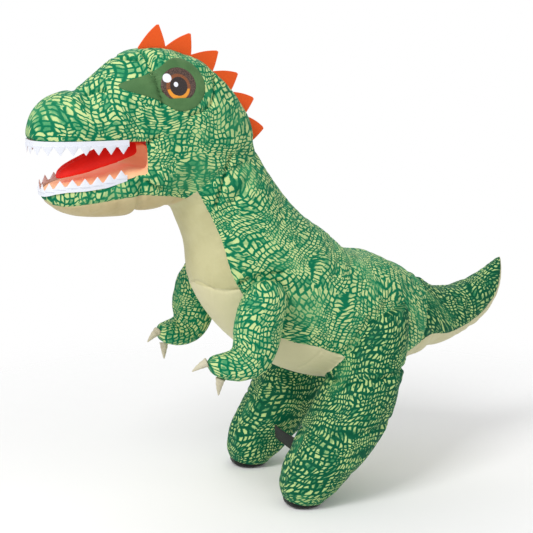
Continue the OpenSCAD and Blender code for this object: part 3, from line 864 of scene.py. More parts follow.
def relax(points: Array, edges: Array, rounds: int, rate: float = 0.5) -> Array:
    """Moves each point towards the middle of its neighbours.

    Args:
        points: one row for each vertex.
        edges: vertex numbers of every edge.
        rounds: how many times.
        rate: share of the way in one round.

    Returns:
        The moved points.
    """
    one, other = edges[:, 0], edges[:, 1]
    size = len(points)
    count = np.maximum(np.bincount(edges.ravel(), minlength=size), 1)[:, None]
    for _ in range(rounds):
        total = np.stack([np.bincount(one, points[other, k], size) + np.bincount(other, points[one, k], size)
                          for k in range(points.shape[1])], -1)
        points = points + rate * (total / count - points)
    return points


def finish_piece(obj: bpy.types.Object, material: bpy.types.Material, slot: str, smooth: bool = True) -> None:
    """Gives a piece its material and shading.

    Args:
        obj: the piece.
        material: its finish.
        slot: slot name in the record; not used.
        smooth: whether its faces are shaded smooth.
    """
    obj.data.materials.clear()
    obj.data.materials.append(material)
    obj.data.polygons.foreach_set("material_index", [0] * len(obj.data.polygons))
    obj.data.polygons.foreach_set("use_smooth", [smooth] * len(obj.data.polygons))
    obj.data.update()


def lay_cloth(obj: bpy.types.Object, flat: Array) -> None:
    """Writes flat cloth coordinates, one per vertex, to the piece's UV map."""
    layer = obj.data.uv_layers.new(name="cloth")
    corners = read(obj.data.loops, "vertex_index", kind=int)
    layer.data.foreach_set("uv", np.ascontiguousarray(flat[corners], dtype=np.float32).ravel())


# ---------------------------------------------------------------- where a point is on the dinosaur
@dataclass
class Fields:
    """Places and heights of points against every form, in mm."""

    points: Array
    found: dict[str, tuple[Array, Array, Array]] = field(default_factory=dict)

    FORMS = {"trunk": (TRUNK, False), "tail": (TAIL, False), "snout": (SNOUT, False), "skull": (SKULL, False),
             "jaw": (JAW, False), "left_leg": (LEG, False), "right_leg": (LEG, True),
             "left_arm": (ARM, False), "right_arm": (ARM, True)}

    def on(self, name: str) -> tuple[Array, Array, Array]:
        """Place, angle and height against one form, worked out once."""
        if name not in self.found:
            loft, flip = self.FORMS[name]
            self.found[name] = loft.locate(self.points * FLIP if flip else self.points)
        return self.found[name]

    def grown(self, points: Array) -> "Fields":
        """The same fields after points were added at the end."""
        extra = Fields(points[len(self.points):])
        kept = {name: tuple(np.concatenate([old, new]) for old, new in zip(values, extra.on(name)))
                for name, values in self.found.items()}
        return Fields(points, kept)

    def height(self, name: str) -> Array:
        """Height above one form."""
        return self.on(name)[2]

    @property
    def near_x(self) -> Array:
        """Distance from the middle plane."""
        return np.abs(self.points[:, 0])

    def off_trunk(self, *names: str) -> Array:
        """Below zero on one of the named forms, above zero on the trunk."""
        return np.minimum.reduce([self.height(name) for name in names]) - self.height("trunk")

    def leg(self) -> Array:
        """Below zero on a leg, above on the trunk."""
        return self.off_trunk("left_leg", "right_leg")

    def arm(self) -> Array:
        """Below zero on an arm, above on the trunk."""
        return self.off_trunk("left_arm", "right_arm")

    def head(self) -> Array:
        """Below zero on the head, above on the neck."""
        return self.off_trunk("skull", "snout", "jaw")

    def by_arm(self) -> Array:
        """True in the part of the space that the arms are in."""
        return (self.near_x > 90) & (self.points[:, 1] < -60)

    def limb_side(self, limb: str) -> Array:
        """Above zero on the outer half of the legs or arms, below on the inner half."""
        left, right = self.on("left_" + limb)[0], self.on("right_" + limb)[0]
        place = np.where(self.points[:, 0] >= 0, left, right)
        return self.near_x - self.FORMS["left_" + limb][0].section(place)[:, 0]

    def tail(self) -> Array:
        """Above zero behind the tail's root seam."""
        return (self.points - np.array([0, 292, 366])) @ np.array([0, 0.974, -0.225])

    def belly(self) -> Array:
        """Below zero on the pale underside of the trunk and tail."""
        place = self.on("trunk")[0]
        y = self.points[:, 1]
        half = np.interp(y, [240, 292], [BELLY_ANGLE, 62])
        half = half + BELLY_FLARE * (ease((place - 3.2) / 0.8) - ease((place - 4.9) / 1.6)) * (y < 240)
        turned = np.where(self.tail() > 0, self.on("tail")[1], self.on("trunk")[1])
        off = np.abs((turned + 90 + 180) % 360 - 180)
        return (off - half) * 2.0

    def chin(self) -> Array:
        """Below zero on the pale chin."""
        return self.points[:, 2] - np.interp(self.points[:, 1], *zip(*CHIN_LINE))

    def mouth(self) -> Array:
        """Above zero on the lining of the mouth."""
        y, z = self.points[:, 1], self.points[:, 2]
        low = z - np.interp(y, *zip(*LIP_LOW))
        high = np.interp(y, [-562, -520, -350], [783, 779, 779]) - z
        inner = np.interp(y, [-350, -290], [85.5, 70])
        side = np.minimum(np.maximum(-352 - y, inner - self.near_x), -276 - y)
        return np.minimum(np.minimum(low, high), side)

    def hinge(self) -> Array:
        """Above zero in front of and below the mouth's corner."""
        way = (self.points - HINGE) @ JAW_WAY
        return np.minimum(way, 752 - self.points[:, 2])

    def fan_hole(self) -> Array:
        """Below zero inside the blower's hole."""
        out = np.hypot(self.points[:, 1] - FAN[1], self.points[:, 2] - FAN[2]) - 35.6
        return np.where(self.points[:, 0] < FAN_SIDE, out, 50.0)


class Skin(Enum):
    """Sewn panels of the skin."""

    BODY_LEFT = 1
    BODY_RIGHT = 2
    CHEST = 3
    BELLY = 4
    LEFT_LEG_OUTER = 5
    LEFT_LEG_INNER = 6
    RIGHT_LEG_OUTER = 7
    RIGHT_LEG_INNER = 8
    LEFT_SOLE = 9
    RIGHT_SOLE = 10
    LEFT_ARM_OUTER = 11
    LEFT_ARM_INNER = 12
    RIGHT_ARM_OUTER = 13
    RIGHT_ARM_INNER = 14
    HEAD_LEFT = 15
    HEAD_RIGHT = 16
    HEAD_CHIN = 17
    JAW_LEFT = 18
    JAW_RIGHT = 19
    CHIN = 20
    PALATE = 21
    JAW_LINING = 22
    TAIL_LEFT = 23
    TAIL_RIGHT = 24
    TAIL_BELLY = 25
    HOLE = 26


def panel_of(f: Fields) -> Array:
    """Panel number of each point.

    Args:
        f: the points' fields.

    Returns:
        Value of the Skin that each point is on.
    """
    left = f.points[:, 0] >= 0
    up = f.points[:, 2]
    pale, pale_chin, jaw, lining = f.belly() < 0, f.chin() < 0, f.hinge() > 0, f.mouth() > 0
    leg = (f.leg() < 0) & (up < LEG_TOP)
    arm = (f.arm() < 0) & f.by_arm() & ~leg
    tail = f.tail() > 0
    head = (f.head() < 0) & (up > HEAD_LOW)
    layers = (
        (pale, Skin.BELLY, Skin.BELLY),
        (pale & (f.on("trunk")[0] < BIB_ROW), Skin.CHEST, Skin.CHEST),
        (leg, Skin.LEFT_LEG_INNER, Skin.RIGHT_LEG_INNER),
        (leg & (f.limb_side("leg") > 0), Skin.LEFT_LEG_OUTER, Skin.RIGHT_LEG_OUTER),
        (leg & (up < sole_line(f.points)), Skin.LEFT_SOLE, Skin.RIGHT_SOLE),
        (arm, Skin.LEFT_ARM_INNER, Skin.RIGHT_ARM_INNER),
        (arm & (f.limb_side("arm") > 0), Skin.LEFT_ARM_OUTER, Skin.RIGHT_ARM_OUTER),
        (tail, Skin.TAIL_LEFT, Skin.TAIL_RIGHT),
        (tail & pale, Skin.TAIL_BELLY, Skin.TAIL_BELLY),
        (head, Skin.HEAD_LEFT, Skin.HEAD_RIGHT),
        (head & pale_chin, Skin.HEAD_CHIN, Skin.HEAD_CHIN),
        (head & jaw, Skin.JAW_LEFT, Skin.JAW_RIGHT),
        (head & jaw & pale_chin, Skin.CHIN, Skin.CHIN),
        (head & lining, Skin.PALATE, Skin.PALATE),
        (head & lining & jaw, Skin.JAW_LINING, Skin.JAW_LINING),
        (f.fan_hole() < 0, Skin.HOLE, Skin.HOLE))
    out = np.where(left, Skin.BODY_LEFT.value, Skin.BODY_RIGHT.value)
    for where, one, other in layers:
        out = np.where(where, np.where(left, one.value, other.value), out)
    return out


def sole_line(points: Array) -> Array:
    """Height of the black sole's edge, higher round the toes."""
    return np.interp(points[:, 1], [-90, -50, 20], [19, 13, 9])


# ---------------------------------------------------------------- the sewn skin
@dataclass
class Seam:
    """Points along sewn lines, with how each gathers the cloth."""

    points: list[Array] = field(default_factory=list)
    traits: list[Array] = field(default_factory=list)

    def add(self, points: Array, groove: float, width: float, pucker: float, reach: float) -> None:
        """Adds a line.

        Args:
            points: places in mm.
            groove: depth of the sewn groove in mm.
            width: half width of the groove in mm.
            pucker: height of the gathers in mm.
            reach: how far the gathers run from the line in mm.
        """
        if len(points):
            self.points.append(points)
            self.traits.append(np.tile([groove, width, pucker, reach], (len(points), 1)))

    def press(self, places: Array, way: Array) -> Array:
        """Places moved by the nearest seam's groove and gathers.

        Args:
            places: vertices in mm.
            way: their normals.

        Returns:
            The moved places.
        """
        spots, traits = np.concatenate(self.points), np.concatenate(self.traits)
        tree = KDTree(len(spots))
        for i, spot in enumerate(spots):
            tree.insert(spot, i)
        tree.balance()
        total = np.zeros(len(places))
        for i, place in enumerate(places):
            near, index, far = tree.find(place)
            groove, width, pucker, reach = traits[index]
            if far > 3.5 * reach:
                continue
            rise = -groove * (math.exp(-(far / width) ** 2) + 0.3 * math.exp(-far / (3 * width)))
            if pucker:
                fade = math.exp(-far / reach) * (1 - math.exp(-far / 4.0))
                wave = noise.noise(near * 0.085) + 0.6 * noise.noise(near * 0.19 + Vector((7, 3, 1)))
                rise += pucker * fade * wave * 1.6
            total[i] = rise
        return places + way * total[:, None]


@dataclass
class SewnSkin:
    """The whole sewn envelope, made as one skin and cut into its panels along the seams."""

    looks: dict[str, bpy.types.Material]
    voxel: float = 6.0
    drawn_in: float = 2.6
    swell: float = 5.5
    frames: int = 20
    knees: tuple = ((268.0, 6.0), (166.0, 3.6))

    STIFF = {"quality": 4, "mass": 0.2, "tension_stiffness": 12, "compression_stiffness": 12,
             "shear_stiffness": 6, "bending_stiffness": 0.3, "use_pressure": True,
             "uniform_pressure_force": 4.0, "vertex_group_mass": "held", "shrink_min": -0.03}

    def union(self) -> bpy.types.Object:
        """Joins every form into one closed skin.

        Returns:
            The skin before it is blown up.
        """
        parts = [TRUNK.closed("trunk", self.drawn_in), TAIL.closed("tail", self.drawn_in),
                 SNOUT.closed("snout", 1.0), JAW.closed("jaw", 1.0), NAPE.closed("nape", 1.0)]
        parts += [LEG.closed("leg", self.drawn_in, flip=f) for f in (False, True)]
        parts += [ARM.closed("arm", 1.6, flip=f) for f in (False, True)]
        skull = SKULL.closed("skull", 1.6)
        cavity = self.cavity()
        cut = skull.modifiers.new("cut", "BOOLEAN")
        cut.operation, cut.solver, cut.object = "DIFFERENCE", "EXACT", cavity
        bake(skull)
        parts.append(skull)
        obj = joined("envelope", parts)
        drop(cavity)
        grid = obj.modifiers.new("grid", "REMESH")
        grid.mode, grid.voxel_size = "VOXEL", self.voxel * MM
        bake(obj)
        set_coordinates(obj.data, self.soften(coordinates(obj.data) / MM, edge_pairs(obj.data)) * MM)
        return obj

    def soften(self, points: Array, edges: Array) -> Array:
        """Smooths the grid, most of all at the thighs' tops and the nape.

        Args:
            points: vertices in mm.
            edges: vertex numbers of every edge.

        Returns:
            The moved vertices.
        """
        points = relax(points, edges, 3)
        f = Fields(points)
        hip = np.exp(-(f.leg() / 22) ** 2) * (points[:, 2] > 230) * (f.near_x > 80)
        smooth = relax(points, edges, 12)
        points = points + (smooth - points) * hip[:, None]
        nape = np.exp(-(f.head() / 46) ** 2) * (points[:, 2] > 610) * (points[:, 1] > -312)
        nape *= np.clip((points[:, 1] + 312) / 30, 0, 1)
        nape = relax(nape[:, None], edges, 6)
        smooth = relax(points, edges, 90)
        return points + (smooth - points) * nape

    def cavity(self) -> bpy.types.Object:
        """Closed shape of the mouth's inside, behind the lips.

        Returns:
            The mesh that is taken out of the skull.
        """
        rings = [(-366, 80, 721, 776), (-345, 79, 720, 775), (-318, 74, 720, 772), (-300, 66, 721, 766),
                 (-289, 54, 724, 758), (-286, 40, 727, 750)]
        around = 28
        points = []
        for y, half, low, high in rings:
            for j in range(around):
                turn = 2 * math.pi * j / around
                x = half * float(spow(np.array(math.cos(turn)), 0.6))
                z = (low + high) / 2 + (high - low) / 2 * float(spow(np.array(math.sin(turn)), 0.6))
                points.append((x, y, z))
        return outward(new_mesh("cavity", np.array(points) * MM, tube_faces(len(rings), around)))

    def lines(self) -> list[tuple[str, Callable, Callable, tuple]]:
        """Every sewn line.

        Returns:
            For each line its name, a value that is zero on it, where it runs, and its groove's depth and
            width and its gathers' height and reach in mm.
        """
        def up(f: Fields) -> Array:
            """Height above the floor."""
            return f.points[:, 2]

        def ahead(f: Fields) -> Array:
            """Place from front to back."""
            return f.points[:, 1]

        def head(f: Fields) -> Array:
            """True on the head and its seam."""
            return (f.head() < 4) & (up(f) > HEAD_LOW)

        def body(f: Fields) -> Array:
            """True on the trunk and its seams."""
            return (f.head() > -6) & (f.leg() > -6) & (f.arm() > -6)

        return [
            ("back", lambda f: f.points[:, 0],
             lambda f: (f.mouth() < 0) & (f.belly() > 0) & ((f.chin() > 0) | (f.head() > 0)),
             (1.0, 3.0, 1.2, 20)),
            ("belly", Fields.belly, body, (1.0, 2.6, 0.9, 16)),
            ("hip", Fields.leg, lambda f: (up(f) < LEG_TOP) & (f.near_x > 60), (3.2, 5.5, 2.2, 30)),
            ("leg_side", lambda f: f.limb_side("leg"), lambda f: (f.leg() < 0) & (up(f) < LEG_TOP),
             (0.8, 2.6, 0.7, 14)),
            ("sole", lambda f: up(f) - sole_line(f.points), lambda f: (up(f) < 40) & (f.leg() < 0),
             (0.8, 2.5, 0.8, 12)),
            ("armhole", Fields.arm, lambda f: f.by_arm() & (up(f) < 520), (5.0, 7.0, 2.2, 24)),
            ("arm_side", lambda f: f.limb_side("arm"), lambda f: (f.arm() < 0) & f.by_arm(),
             (0.7, 2.4, 0.8, 12)),
            ("neck", Fields.head, lambda f: (up(f) > HEAD_LOW) & (ahead(f) > -300), (0.5, 4.0, 0.9, 24)),
            ("tail_root", Fields.tail, lambda f: (up(f) > 200) & (f.leg() > 0), (2.2, 4.0, 2.2, 30)),
            ("chin", Fields.chin, head, (0.9, 2.6, 0.9, 14)),
            ("lip", Fields.mouth, head, (0.3, 2.0, 0.5, 10)),
            ("hinge", Fields.hinge, head, (0.0, 2.0, 0.0, 1)),
            ("bib", lambda f: f.on("trunk")[0] - BIB_ROW,
             lambda f: (f.belly() < 3) & body(f) & (f.tail() < 0), (1.0, 3.0, 0.8, 14)),
            ("second_bib", lambda f: up(f) - BIB_HEIGHT - 6 * np.sin(f.points[:, 0] / 17),
             lambda f: (f.belly() < 2) & body(f) & (ahead(f) < -100), (2.2, 3.0, 1.4, 16)),
            ("fan", Fields.fan_hole, lambda f: f.points[:, 0] < FAN_SIDE, (0.0, 2.0, 0.5, 12)),
        ]

    def blow_up(self, obj: bpy.types.Object) -> None:
        """Blows the skin up as cloth, held along its seams, with each point's move capped.

        Args:
            obj: the skin.
        """
        rest = coordinates(obj.data)
        f = Fields(rest / MM)
        held = np.zeros(len(rest))
        for name, value, where, _ in self.lines():
            if name == "hinge":
                continue
            held = np.maximum(held, where(f) * np.exp(-(value(f) / 5.0) ** 2))
        held[f.mouth() > -4] = 1.0
        held[f.points[:, 2] < 24] = 1.0
        group = obj.vertex_groups.new(name="held")
        for level in np.unique(np.round(held, 1)):
            if level > 0.05:
                group.add(np.nonzero(np.round(held, 1) == level)[0].tolist(), float(level), "REPLACE")
        cloth = obj.modifiers.new("cloth", "CLOTH")
        for key, value in self.STIFF.items():
            setattr(cloth.settings, key, value)
        cloth.settings.effector_weights.gravity = 0.0
        cloth.collision_settings.use_collision = False
        cloth.collision_settings.use_self_collision = False
        scene = bpy.context.scene
        cloth.point_cache.frame_start, cloth.point_cache.frame_end = 1, self.frames
        for step in range(1, self.frames + 1):
            scene.frame_set(step)
        bake(obj)
        scene.frame_set(1)
        obj.vertex_groups.clear()
        moved = coordinates(obj.data) - rest
        moved = relax(moved, edge_pairs(obj.data), 1)
        size = np.linalg.norm(moved, axis=1, keepdims=True)
        LOG.info("cloth moved %.1f mm at most, %.1f mm on average", size.max() / MM, size.mean() / MM)
        moved *= np.minimum(1.0, self.swell * MM / np.maximum(size, TINY))
        set_coordinates(obj.data, rest + moved)

    def cut(self, obj: bpy.types.Object) -> None:
        """Adds mesh edges along every sewn line.

        Args:
            obj: the skin.
        """
        work = bmesh.new()
        work.from_mesh(obj.data)
        f = Fields(coordinates(obj.data) / MM)
        for name, value, where, _ in self.lines():
            f = f.grown(np.array([v.co for v in work.verts]) / MM)
            values, inside = value(f), where(f)
            work.verts.ensure_lookup_table()
            pairs = np.array([(e.verts[0].index, e.verts[1].index) for e in work.edges])
            a, b = values[pairs[:, 0]], values[pairs[:, 1]]
            crossing = (a * b < 0) & (inside[pairs[:, 0]] | inside[pairs[:, 1]]) & (np.abs(a - b) < 60)
            work.edges.ensure_lookup_table()
            chosen = [work.edges[i] for i in np.nonzero(crossing)[0]]
            line = []
            for edge, low, high in zip(chosen, a[crossing], b[crossing]):
                share = low / (low - high)
                if share < 0.14:
                    line.append(edge.verts[0])
                elif share > 0.86:
                    line.append(edge.verts[1])
                else:
                    line.append(bmesh.utils.edge_split(edge, edge.verts[0], share)[1])
            if line:
                bmesh.ops.connect_verts(work, verts=list(set(line)))
            work.verts.index_update()
            LOG.debug("%s: %d crossings", name, len(line))
        bmesh.ops.triangulate(work, faces=[face for face in work.faces if len(face.verts) > 4])
        work.to_mesh(obj.data)
        work.free()

    def mark(self, obj: bpy.types.Object) -> Array:
        """Panel number of every face."""
        return panel_of(Fields(read(obj.data.polygons, "center", 3) / MM))

    def shape(self) -> tuple[bpy.types.Object, Array]:
        """Makes the whole skin.

        Returns:
            The skin and the panel number of every face.
        """
        obj = self.union()
        LOG.info("envelope: %d points", len(obj.data.vertices))
        self.blow_up(obj)
        self.cut(obj)
        attribute = obj.data.attributes.new("panel", "INT", "FACE")
        attribute.data.foreach_set("value", self.mark(obj).astype(np.int32))
        smooth = obj.modifiers.new("smooth", "SUBSURF")
        smooth.levels = smooth.render_levels = 1
        bake(obj)
        panels = read(obj.data.attributes["panel"].data, "value", kind=np.int32)
        self.press_seams(obj)
        self.settle(obj)
        return obj, panels

    def press_seams(self, obj: bpy.types.Object) -> None:
        """Presses grooves, gathers and folds into the skin."""
        points = coordinates(obj.data) / MM
        edges = edge_pairs(obj.data)
        f = Fields(points)
        seam = Seam()
        for name, value, where, traits in self.lines():
            if name == "hinge":
                continue
            values, inside = value(f), where(f)
            a, b = values[edges[:, 0]], values[edges[:, 1]]
            cross = (a * b <= 0) & (inside[edges[:, 0]] & inside[edges[:, 1]]) & (np.abs(a - b) < 30)
            share = (a / np.where(np.abs(a - b) < TINY, TINY, a - b))[cross, None]
            line = points[edges[cross, 0]] * (1 - share) + points[edges[cross, 1]] * share
            seam.add(line, *traits)
        for height, groove in self.knees:
            values = points[:, 2] - height - 0.10 * (points[:, 1] - 60)
            inside = (f.leg() < 0) & (np.abs(values) < 12)
            a, b = values[edges[:, 0]], values[edges[:, 1]]
            cross = (a * b <= 0) & inside[edges[:, 0]]
            line = (points[edges[cross, 0]] + points[edges[cross, 1]]) / 2
            seam.add(line, groove, 5.5, 2.4, 26)
        seam.add(self.folds(obj), 8.0, 3.6, 2.0, 24)
        set_coordinates(obj.data, seam.press(points, normals(obj.data)) * MM)

    def folds(self, obj: bpy.types.Object) -> Array:
        """Points along the sharp folds round the eyes, at the cheeks and over the shoulders.

        Args:
            obj: the skin.

        Returns:
            Places in mm.
        """
        mesh = obj.data
        tree = BVHTree.FromPolygons([v.co for v in mesh.vertices], [p.vertices for p in mesh.polygons])
        lines = [((-345, 972), (-338, 953), (-333, 932), (-330, 910), (-324, 882), (-317, 850)),
                 ((-186, 935), (-190, 915), (-196, 895), (-204, 868), (-216, 846), (-240, 833), (-262, 828)),
                 ((-452, 872), (-440, 880), (-424, 880)), ((-402, 950), (-380, 940), (-352, 938)),
                 ((-352, 700), (-336, 688), (-318, 682)), ((-356, 770), (-340, 782), (-326, 788)),
                 ((-205, 640), (-198, 672), (-186, 706), (-170, 742))]
        shoulder = ((112, -166, 480), (132, -150, 490), (150, -133, 499), (147, -105, 504), (138, -79, 503))
        out = []
        for side in (1, -1):
            for line in lines:
                spots = np.array(line, float)
                shares = np.linspace(0, len(spots) - 1, 40)
                dense = np.stack([np.interp(shares, range(len(spots)), spots[:, k]) for k in (0, 1)], -1)
                for y, z in dense:
                    hit = tree.ray_cast(Vector((side * 0.4, y * MM, z * MM)), Vector((-side, 0, 0)))[0]
                    if hit is not None:
                        out.append(np.array(hit) / MM)
            spots = np.array(shoulder, float) * (side, 1, 1)
            for share in np.linspace(0, len(spots) - 1, 50):
                place = [np.interp(share, range(len(spots)), spots[:, k]) * MM for k in range(3)]
                out.append(np.array(tree.find_nearest(Vector(place))[0]) / MM)
        return np.array(out)

    def settle(self, obj: bpy.types.Object) -> None:
        """Flattens the soles on the floor and the cloth under the blower's flange."""
        points = coordinates(obj.data) / MM
        z = points[:, 2]
        low = z < 26
        floor = z[low].min()
        z[low] = 0.5 + (z[low] - floor) * (26 - 0.5) / (26 - floor)
        away = np.hypot(points[:, 1] - FAN[1], points[:, 2] - FAN[2])
        near = (points[:, 0] < -100) & (away < 74)
        points[near, 0] += (FLANGE - points[near, 0]) * ease((74 - away) / 26)[near]
        set_coordinates(obj.data, points * MM)

    def cloth_place(self, panel: Skin, points: Array) -> Array:
        """Flat cloth coordinates of a panel's points."""
        f = Fields(points)
        name = panel.name
        side = name.split("_")[0].lower()
        if name.startswith("TAIL"):
            return TAIL.cloth_place(*f.on("tail")[:2], -90 if panel is Skin.TAIL_BELLY else 90)
        if "LEG" in name or "SOLE" in name:
            place, turn, _ = f.on(f"{side}_leg")
            return LEG.cloth_place(place, turn, 180.0 if "INNER" in name else 0.0)
        if "ARM" in name:
            place, turn, _ = f.on(f"{side}_arm")
            return ARM.cloth_place(place, turn, 180.0 if "INNER" in name else 0.0)
        if name.startswith("HEAD") or name.startswith("JAW") or name in ("CHIN", "PALATE"):
            y = points[:, 1]
            middle = np.interp(y, [-560, -350, -90], [770, 770, 755])
            turn = np.arctan2(points[:, 2] - middle, f.near_x + 1e-6)
            if panel in (Skin.HEAD_CHIN, Skin.CHIN, Skin.PALATE, Skin.JAW_LINING):
                return np.stack([y, points[:, 0]], -1) * MM
            radius = np.interp(y, [-560, -480, -350, -200, -90], [40, 80, 130, 120, 40])
            return np.stack([y, turn * radius], -1) * MM
        middle = -90 if panel in (Skin.CHEST, Skin.BELLY) else 90
        return BACKBONE.cloth_place(*BACKBONE.locate(points)[:2], middle)

    def panels(self) -> dict[Skin, bpy.types.Object]:
        """Cuts the finished skin into its panels.

        Returns:
            Object of every panel.
        """
        whole, marks = self.shape()
        mesh = whole.data
        points = coordinates(mesh)
        way = normals(mesh)
        starts, counts = (read(mesh.polygons, key, kind=int) for key in ("loop_start", "loop_total"))
        corners = read(mesh.loops, "vertex_index", kind=int)
        made: dict[Skin, bpy.types.Object] = {}
        for panel in Skin:
            if panel is Skin.HOLE:
                continue
            chosen = np.nonzero(marks == panel.value)[0]
            if not len(chosen):
                LOG.warning("%s has no cloth", panel.name)
                continue
            faces = [corners[starts[i]:starts[i] + counts[i]] for i in chosen]
            used, renumbered = np.unique(np.concatenate(faces), return_inverse=True)
            ends = np.cumsum([len(face) for face in faces])[:-1]
            obj = new_mesh(panel.name.lower() + "_skin", points[used], np.split(renumbered, ends))
            lay_cloth(obj, self.cloth_place(panel, points[used] / MM))
            finish_piece(obj, self.looks[self.cloth_of(panel).value], self.slot_of(panel))
            obj.data.normals_split_custom_set_from_vertices(way[used])
            made[panel] = obj
            LOG.info("%s: %d faces", obj.name, len(faces))
        drop(whole)
        return made

    def cloth_of(self, panel: Skin) -> Cloth:
        """The cloth that a panel is cut from."""
        if panel in (Skin.CHEST, Skin.BELLY, Skin.TAIL_BELLY):
            return Cloth.PALE
        if panel in (Skin.CHIN, Skin.HEAD_CHIN):
            return Cloth.CHIN
        if panel is Skin.PALATE:
            return Cloth.THROAT
        if panel is Skin.JAW_LINING:
            return Cloth.LINING
        if "SOLE" in panel.name:
            return Cloth.BLACK
        # legs and tail take the darker copy of the print, painted shade
        return Cloth.LEG_PRINT if "LEG" in panel.name or panel.name.startswith("TAIL") else Cloth.PRINT

    def slot_of(self, panel: Skin) -> str:
        """The record slot of a panel."""
        cloth = self.cloth_of(panel)
        if cloth is Cloth.LEG_PRINT:
            return Cloth.PRINT.value
        if cloth is Cloth.THROAT:
            return Cloth.RED.value
        return Cloth.PALE.value if cloth is Cloth.CHIN else cloth.value

    def build(self) -> dict[Skin, bpy.types.Object]:
        """Makes the panels, hides the CAD parts that each stands for and places each with ride.

        Returns:
            Object of every panel.
        """
        made = self.panels()
        stands = {
            Skin.BODY_LEFT: ("neck_left_panel", "body_left_panel", "hip_left_panel"),
            Skin.BODY_RIGHT: ("neck_right_panel", "body_right_panel", "hip_right_panel"),
            Skin.CHEST: ("throat_panel", "chest_panel"), Skin.BELLY: ("belly_panel",),
            Skin.LEFT_LEG_OUTER: ("left_leg_outer_panel",), Skin.LEFT_LEG_INNER: ("left_leg_inner_panel",),
            Skin.RIGHT_LEG_OUTER: ("right_leg_outer_panel",),
            Skin.RIGHT_LEG_INNER: ("right_leg_inner_panel",),
            Skin.LEFT_SOLE: ("left_sole",), Skin.RIGHT_SOLE: ("right_sole",),
            Skin.LEFT_ARM_OUTER: ("left_arm_outer_panel",), Skin.LEFT_ARM_INNER: ("left_arm_inner_panel",),
            Skin.RIGHT_ARM_OUTER: ("right_arm_outer_panel",),
            Skin.RIGHT_ARM_INNER: ("right_arm_inner_panel",),
            Skin.HEAD_LEFT: ("snout_left_panel", "skull_left_panel"),
            Skin.HEAD_RIGHT: ("snout_right_panel", "skull_right_panel"), Skin.HEAD_CHIN: ("neck_gusset",),
            Skin.JAW_LEFT: ("jaw_left_panel",), Skin.JAW_RIGHT: ("jaw_right_panel",),
            Skin.CHIN: ("chin_panel",),
            Skin.PALATE: ("palate_lining", "throat_lining"), Skin.JAW_LINING: ("jaw_lining",),
            Skin.TAIL_LEFT: ("tail_left_panel",), Skin.TAIL_RIGHT: ("tail_right_panel",),
            Skin.TAIL_BELLY: ("tail_belly_panel",)}
        for panel, obj in made.items():
            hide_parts(*stands[panel])
            self.ride(panel, obj)
        return made

    def ride(self, panel: Skin, obj: bpy.types.Object) -> None:
        """Puts the head panels and the palate on the head and the belly, legs and soles on the torso; the other
        panels only have their placing baked in.
        """
        name = panel.name
        if panel in (Skin.BODY_LEFT, Skin.BODY_RIGHT, Skin.CHEST):
            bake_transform(obj)
        elif name.startswith("TAIL"):
            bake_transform(obj)
        elif "ARM" in name:
            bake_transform(obj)
        elif panel in (Skin.JAW_LEFT, Skin.JAW_RIGHT, Skin.CHIN, Skin.JAW_LINING):
            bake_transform(obj)
        elif name.startswith("HEAD") or panel is Skin.PALATE:
            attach(obj, "head")
        else:
            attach(obj, "torso")


# ---------------------------------------------------------------- repeated pieces by geometry nodes
class Recipe:
    """A geometry node tree made in the script, with named inputs."""

    def __init__(self, name: str, inputs: dict[str, tuple[str, object]]) -> None:
        """Starts a tree with its geometry input and output and the named inputs."""
        self.tree = bpy.data.node_groups.new(name, "GeometryNodeTree")
        face = self.tree.interface
        face.new_socket("Geometry", in_out="INPUT", socket_type="NodeSocketGeometry")
        for key, (kind, _) in inputs.items():
            face.new_socket(key, in_out="INPUT", socket_type=kind)
        face.new_socket("Geometry", in_out="OUTPUT", socket_type="NodeSocketGeometry")
        self.inputs = inputs
        self.start = self.tree.nodes.new("NodeGroupInput")
        self.end = self.tree.nodes.new("NodeGroupOutput")

    def node(self, kind: str, settings: dict | None = None, values: dict | None = None) -> bpy.types.Node:
        """Adds a node; values may be sockets."""
        made = self.tree.nodes.new(kind)
        for key, value in (settings or {}).items():
            setattr(made, key, value)
        for key, value in (values or {}).items():
            if isinstance(value, bpy.types.NodeSocket):
                self.tree.links.new(value, made.inputs[key])
            else:
                made.inputs[key].default_value = value
        return made

    def row(self, obj: bpy.types.Object, spacing: dict, piece: bpy.types.Node, way: dict,
            material: bpy.types.Material) -> bpy.types.Object:
        """Stands pieces in a row along an object's edges.

        Args:
            obj: mesh of edges.
            spacing: the spots' mode, and the input that gives their count or distance.
            piece: node that makes the piece.
            way: settings that turn the piece along the edges.
            material: finish of the pieces.

        Returns:
            The row as a plain mesh.
        """
        line = self.node("GeometryNodeMeshToCurve", None, {"Mesh": self.start.outputs["Geometry"]})
        (mode, (socket, key)), = spacing.items()
        spots = self.node("GeometryNodeCurveToPoints", {"mode": mode},
                          {"Curve": line.outputs[0], socket: self.start.outputs[key]})
        turn = self.node("FunctionNodeAlignEulerToVector", way, {"Vector": spots.outputs["Tangent"]})
        stood = self.node("GeometryNodeInstanceOnPoints", None, {
            "Points": spots.outputs[0], "Instance": piece.outputs[0], "Rotation": turn.outputs[0]})
        return self.run(obj, stood.outputs[0], material)

    def run(self, obj: bpy.types.Object, last: bpy.types.NodeSocket,
            material: bpy.types.Material) -> bpy.types.Object:
        """Ends the tree, runs it on an object and leaves a plain mesh.

        Args:
            obj: object that the tree runs on.
            last: socket with the tree's geometry.
            material: finish of the geometry.

        Returns:
            The same object.
        """
        real = self.node("GeometryNodeRealizeInstances", None, {"Geometry": last})
        painted = self.node("GeometryNodeSetMaterial", None,
                            {"Geometry": real.outputs[0], "Material": material})
        self.tree.links.new(painted.outputs[0], self.end.inputs[0])
        run = obj.modifiers.new("recipe", "NODES")
        run.node_group = self.tree
        for item in self.tree.interface.items_tree:
            if item.in_out == "INPUT" and item.name in self.inputs:
                run[item.identifier] = self.inputs[item.name][1]
        bake(obj)
        return obj


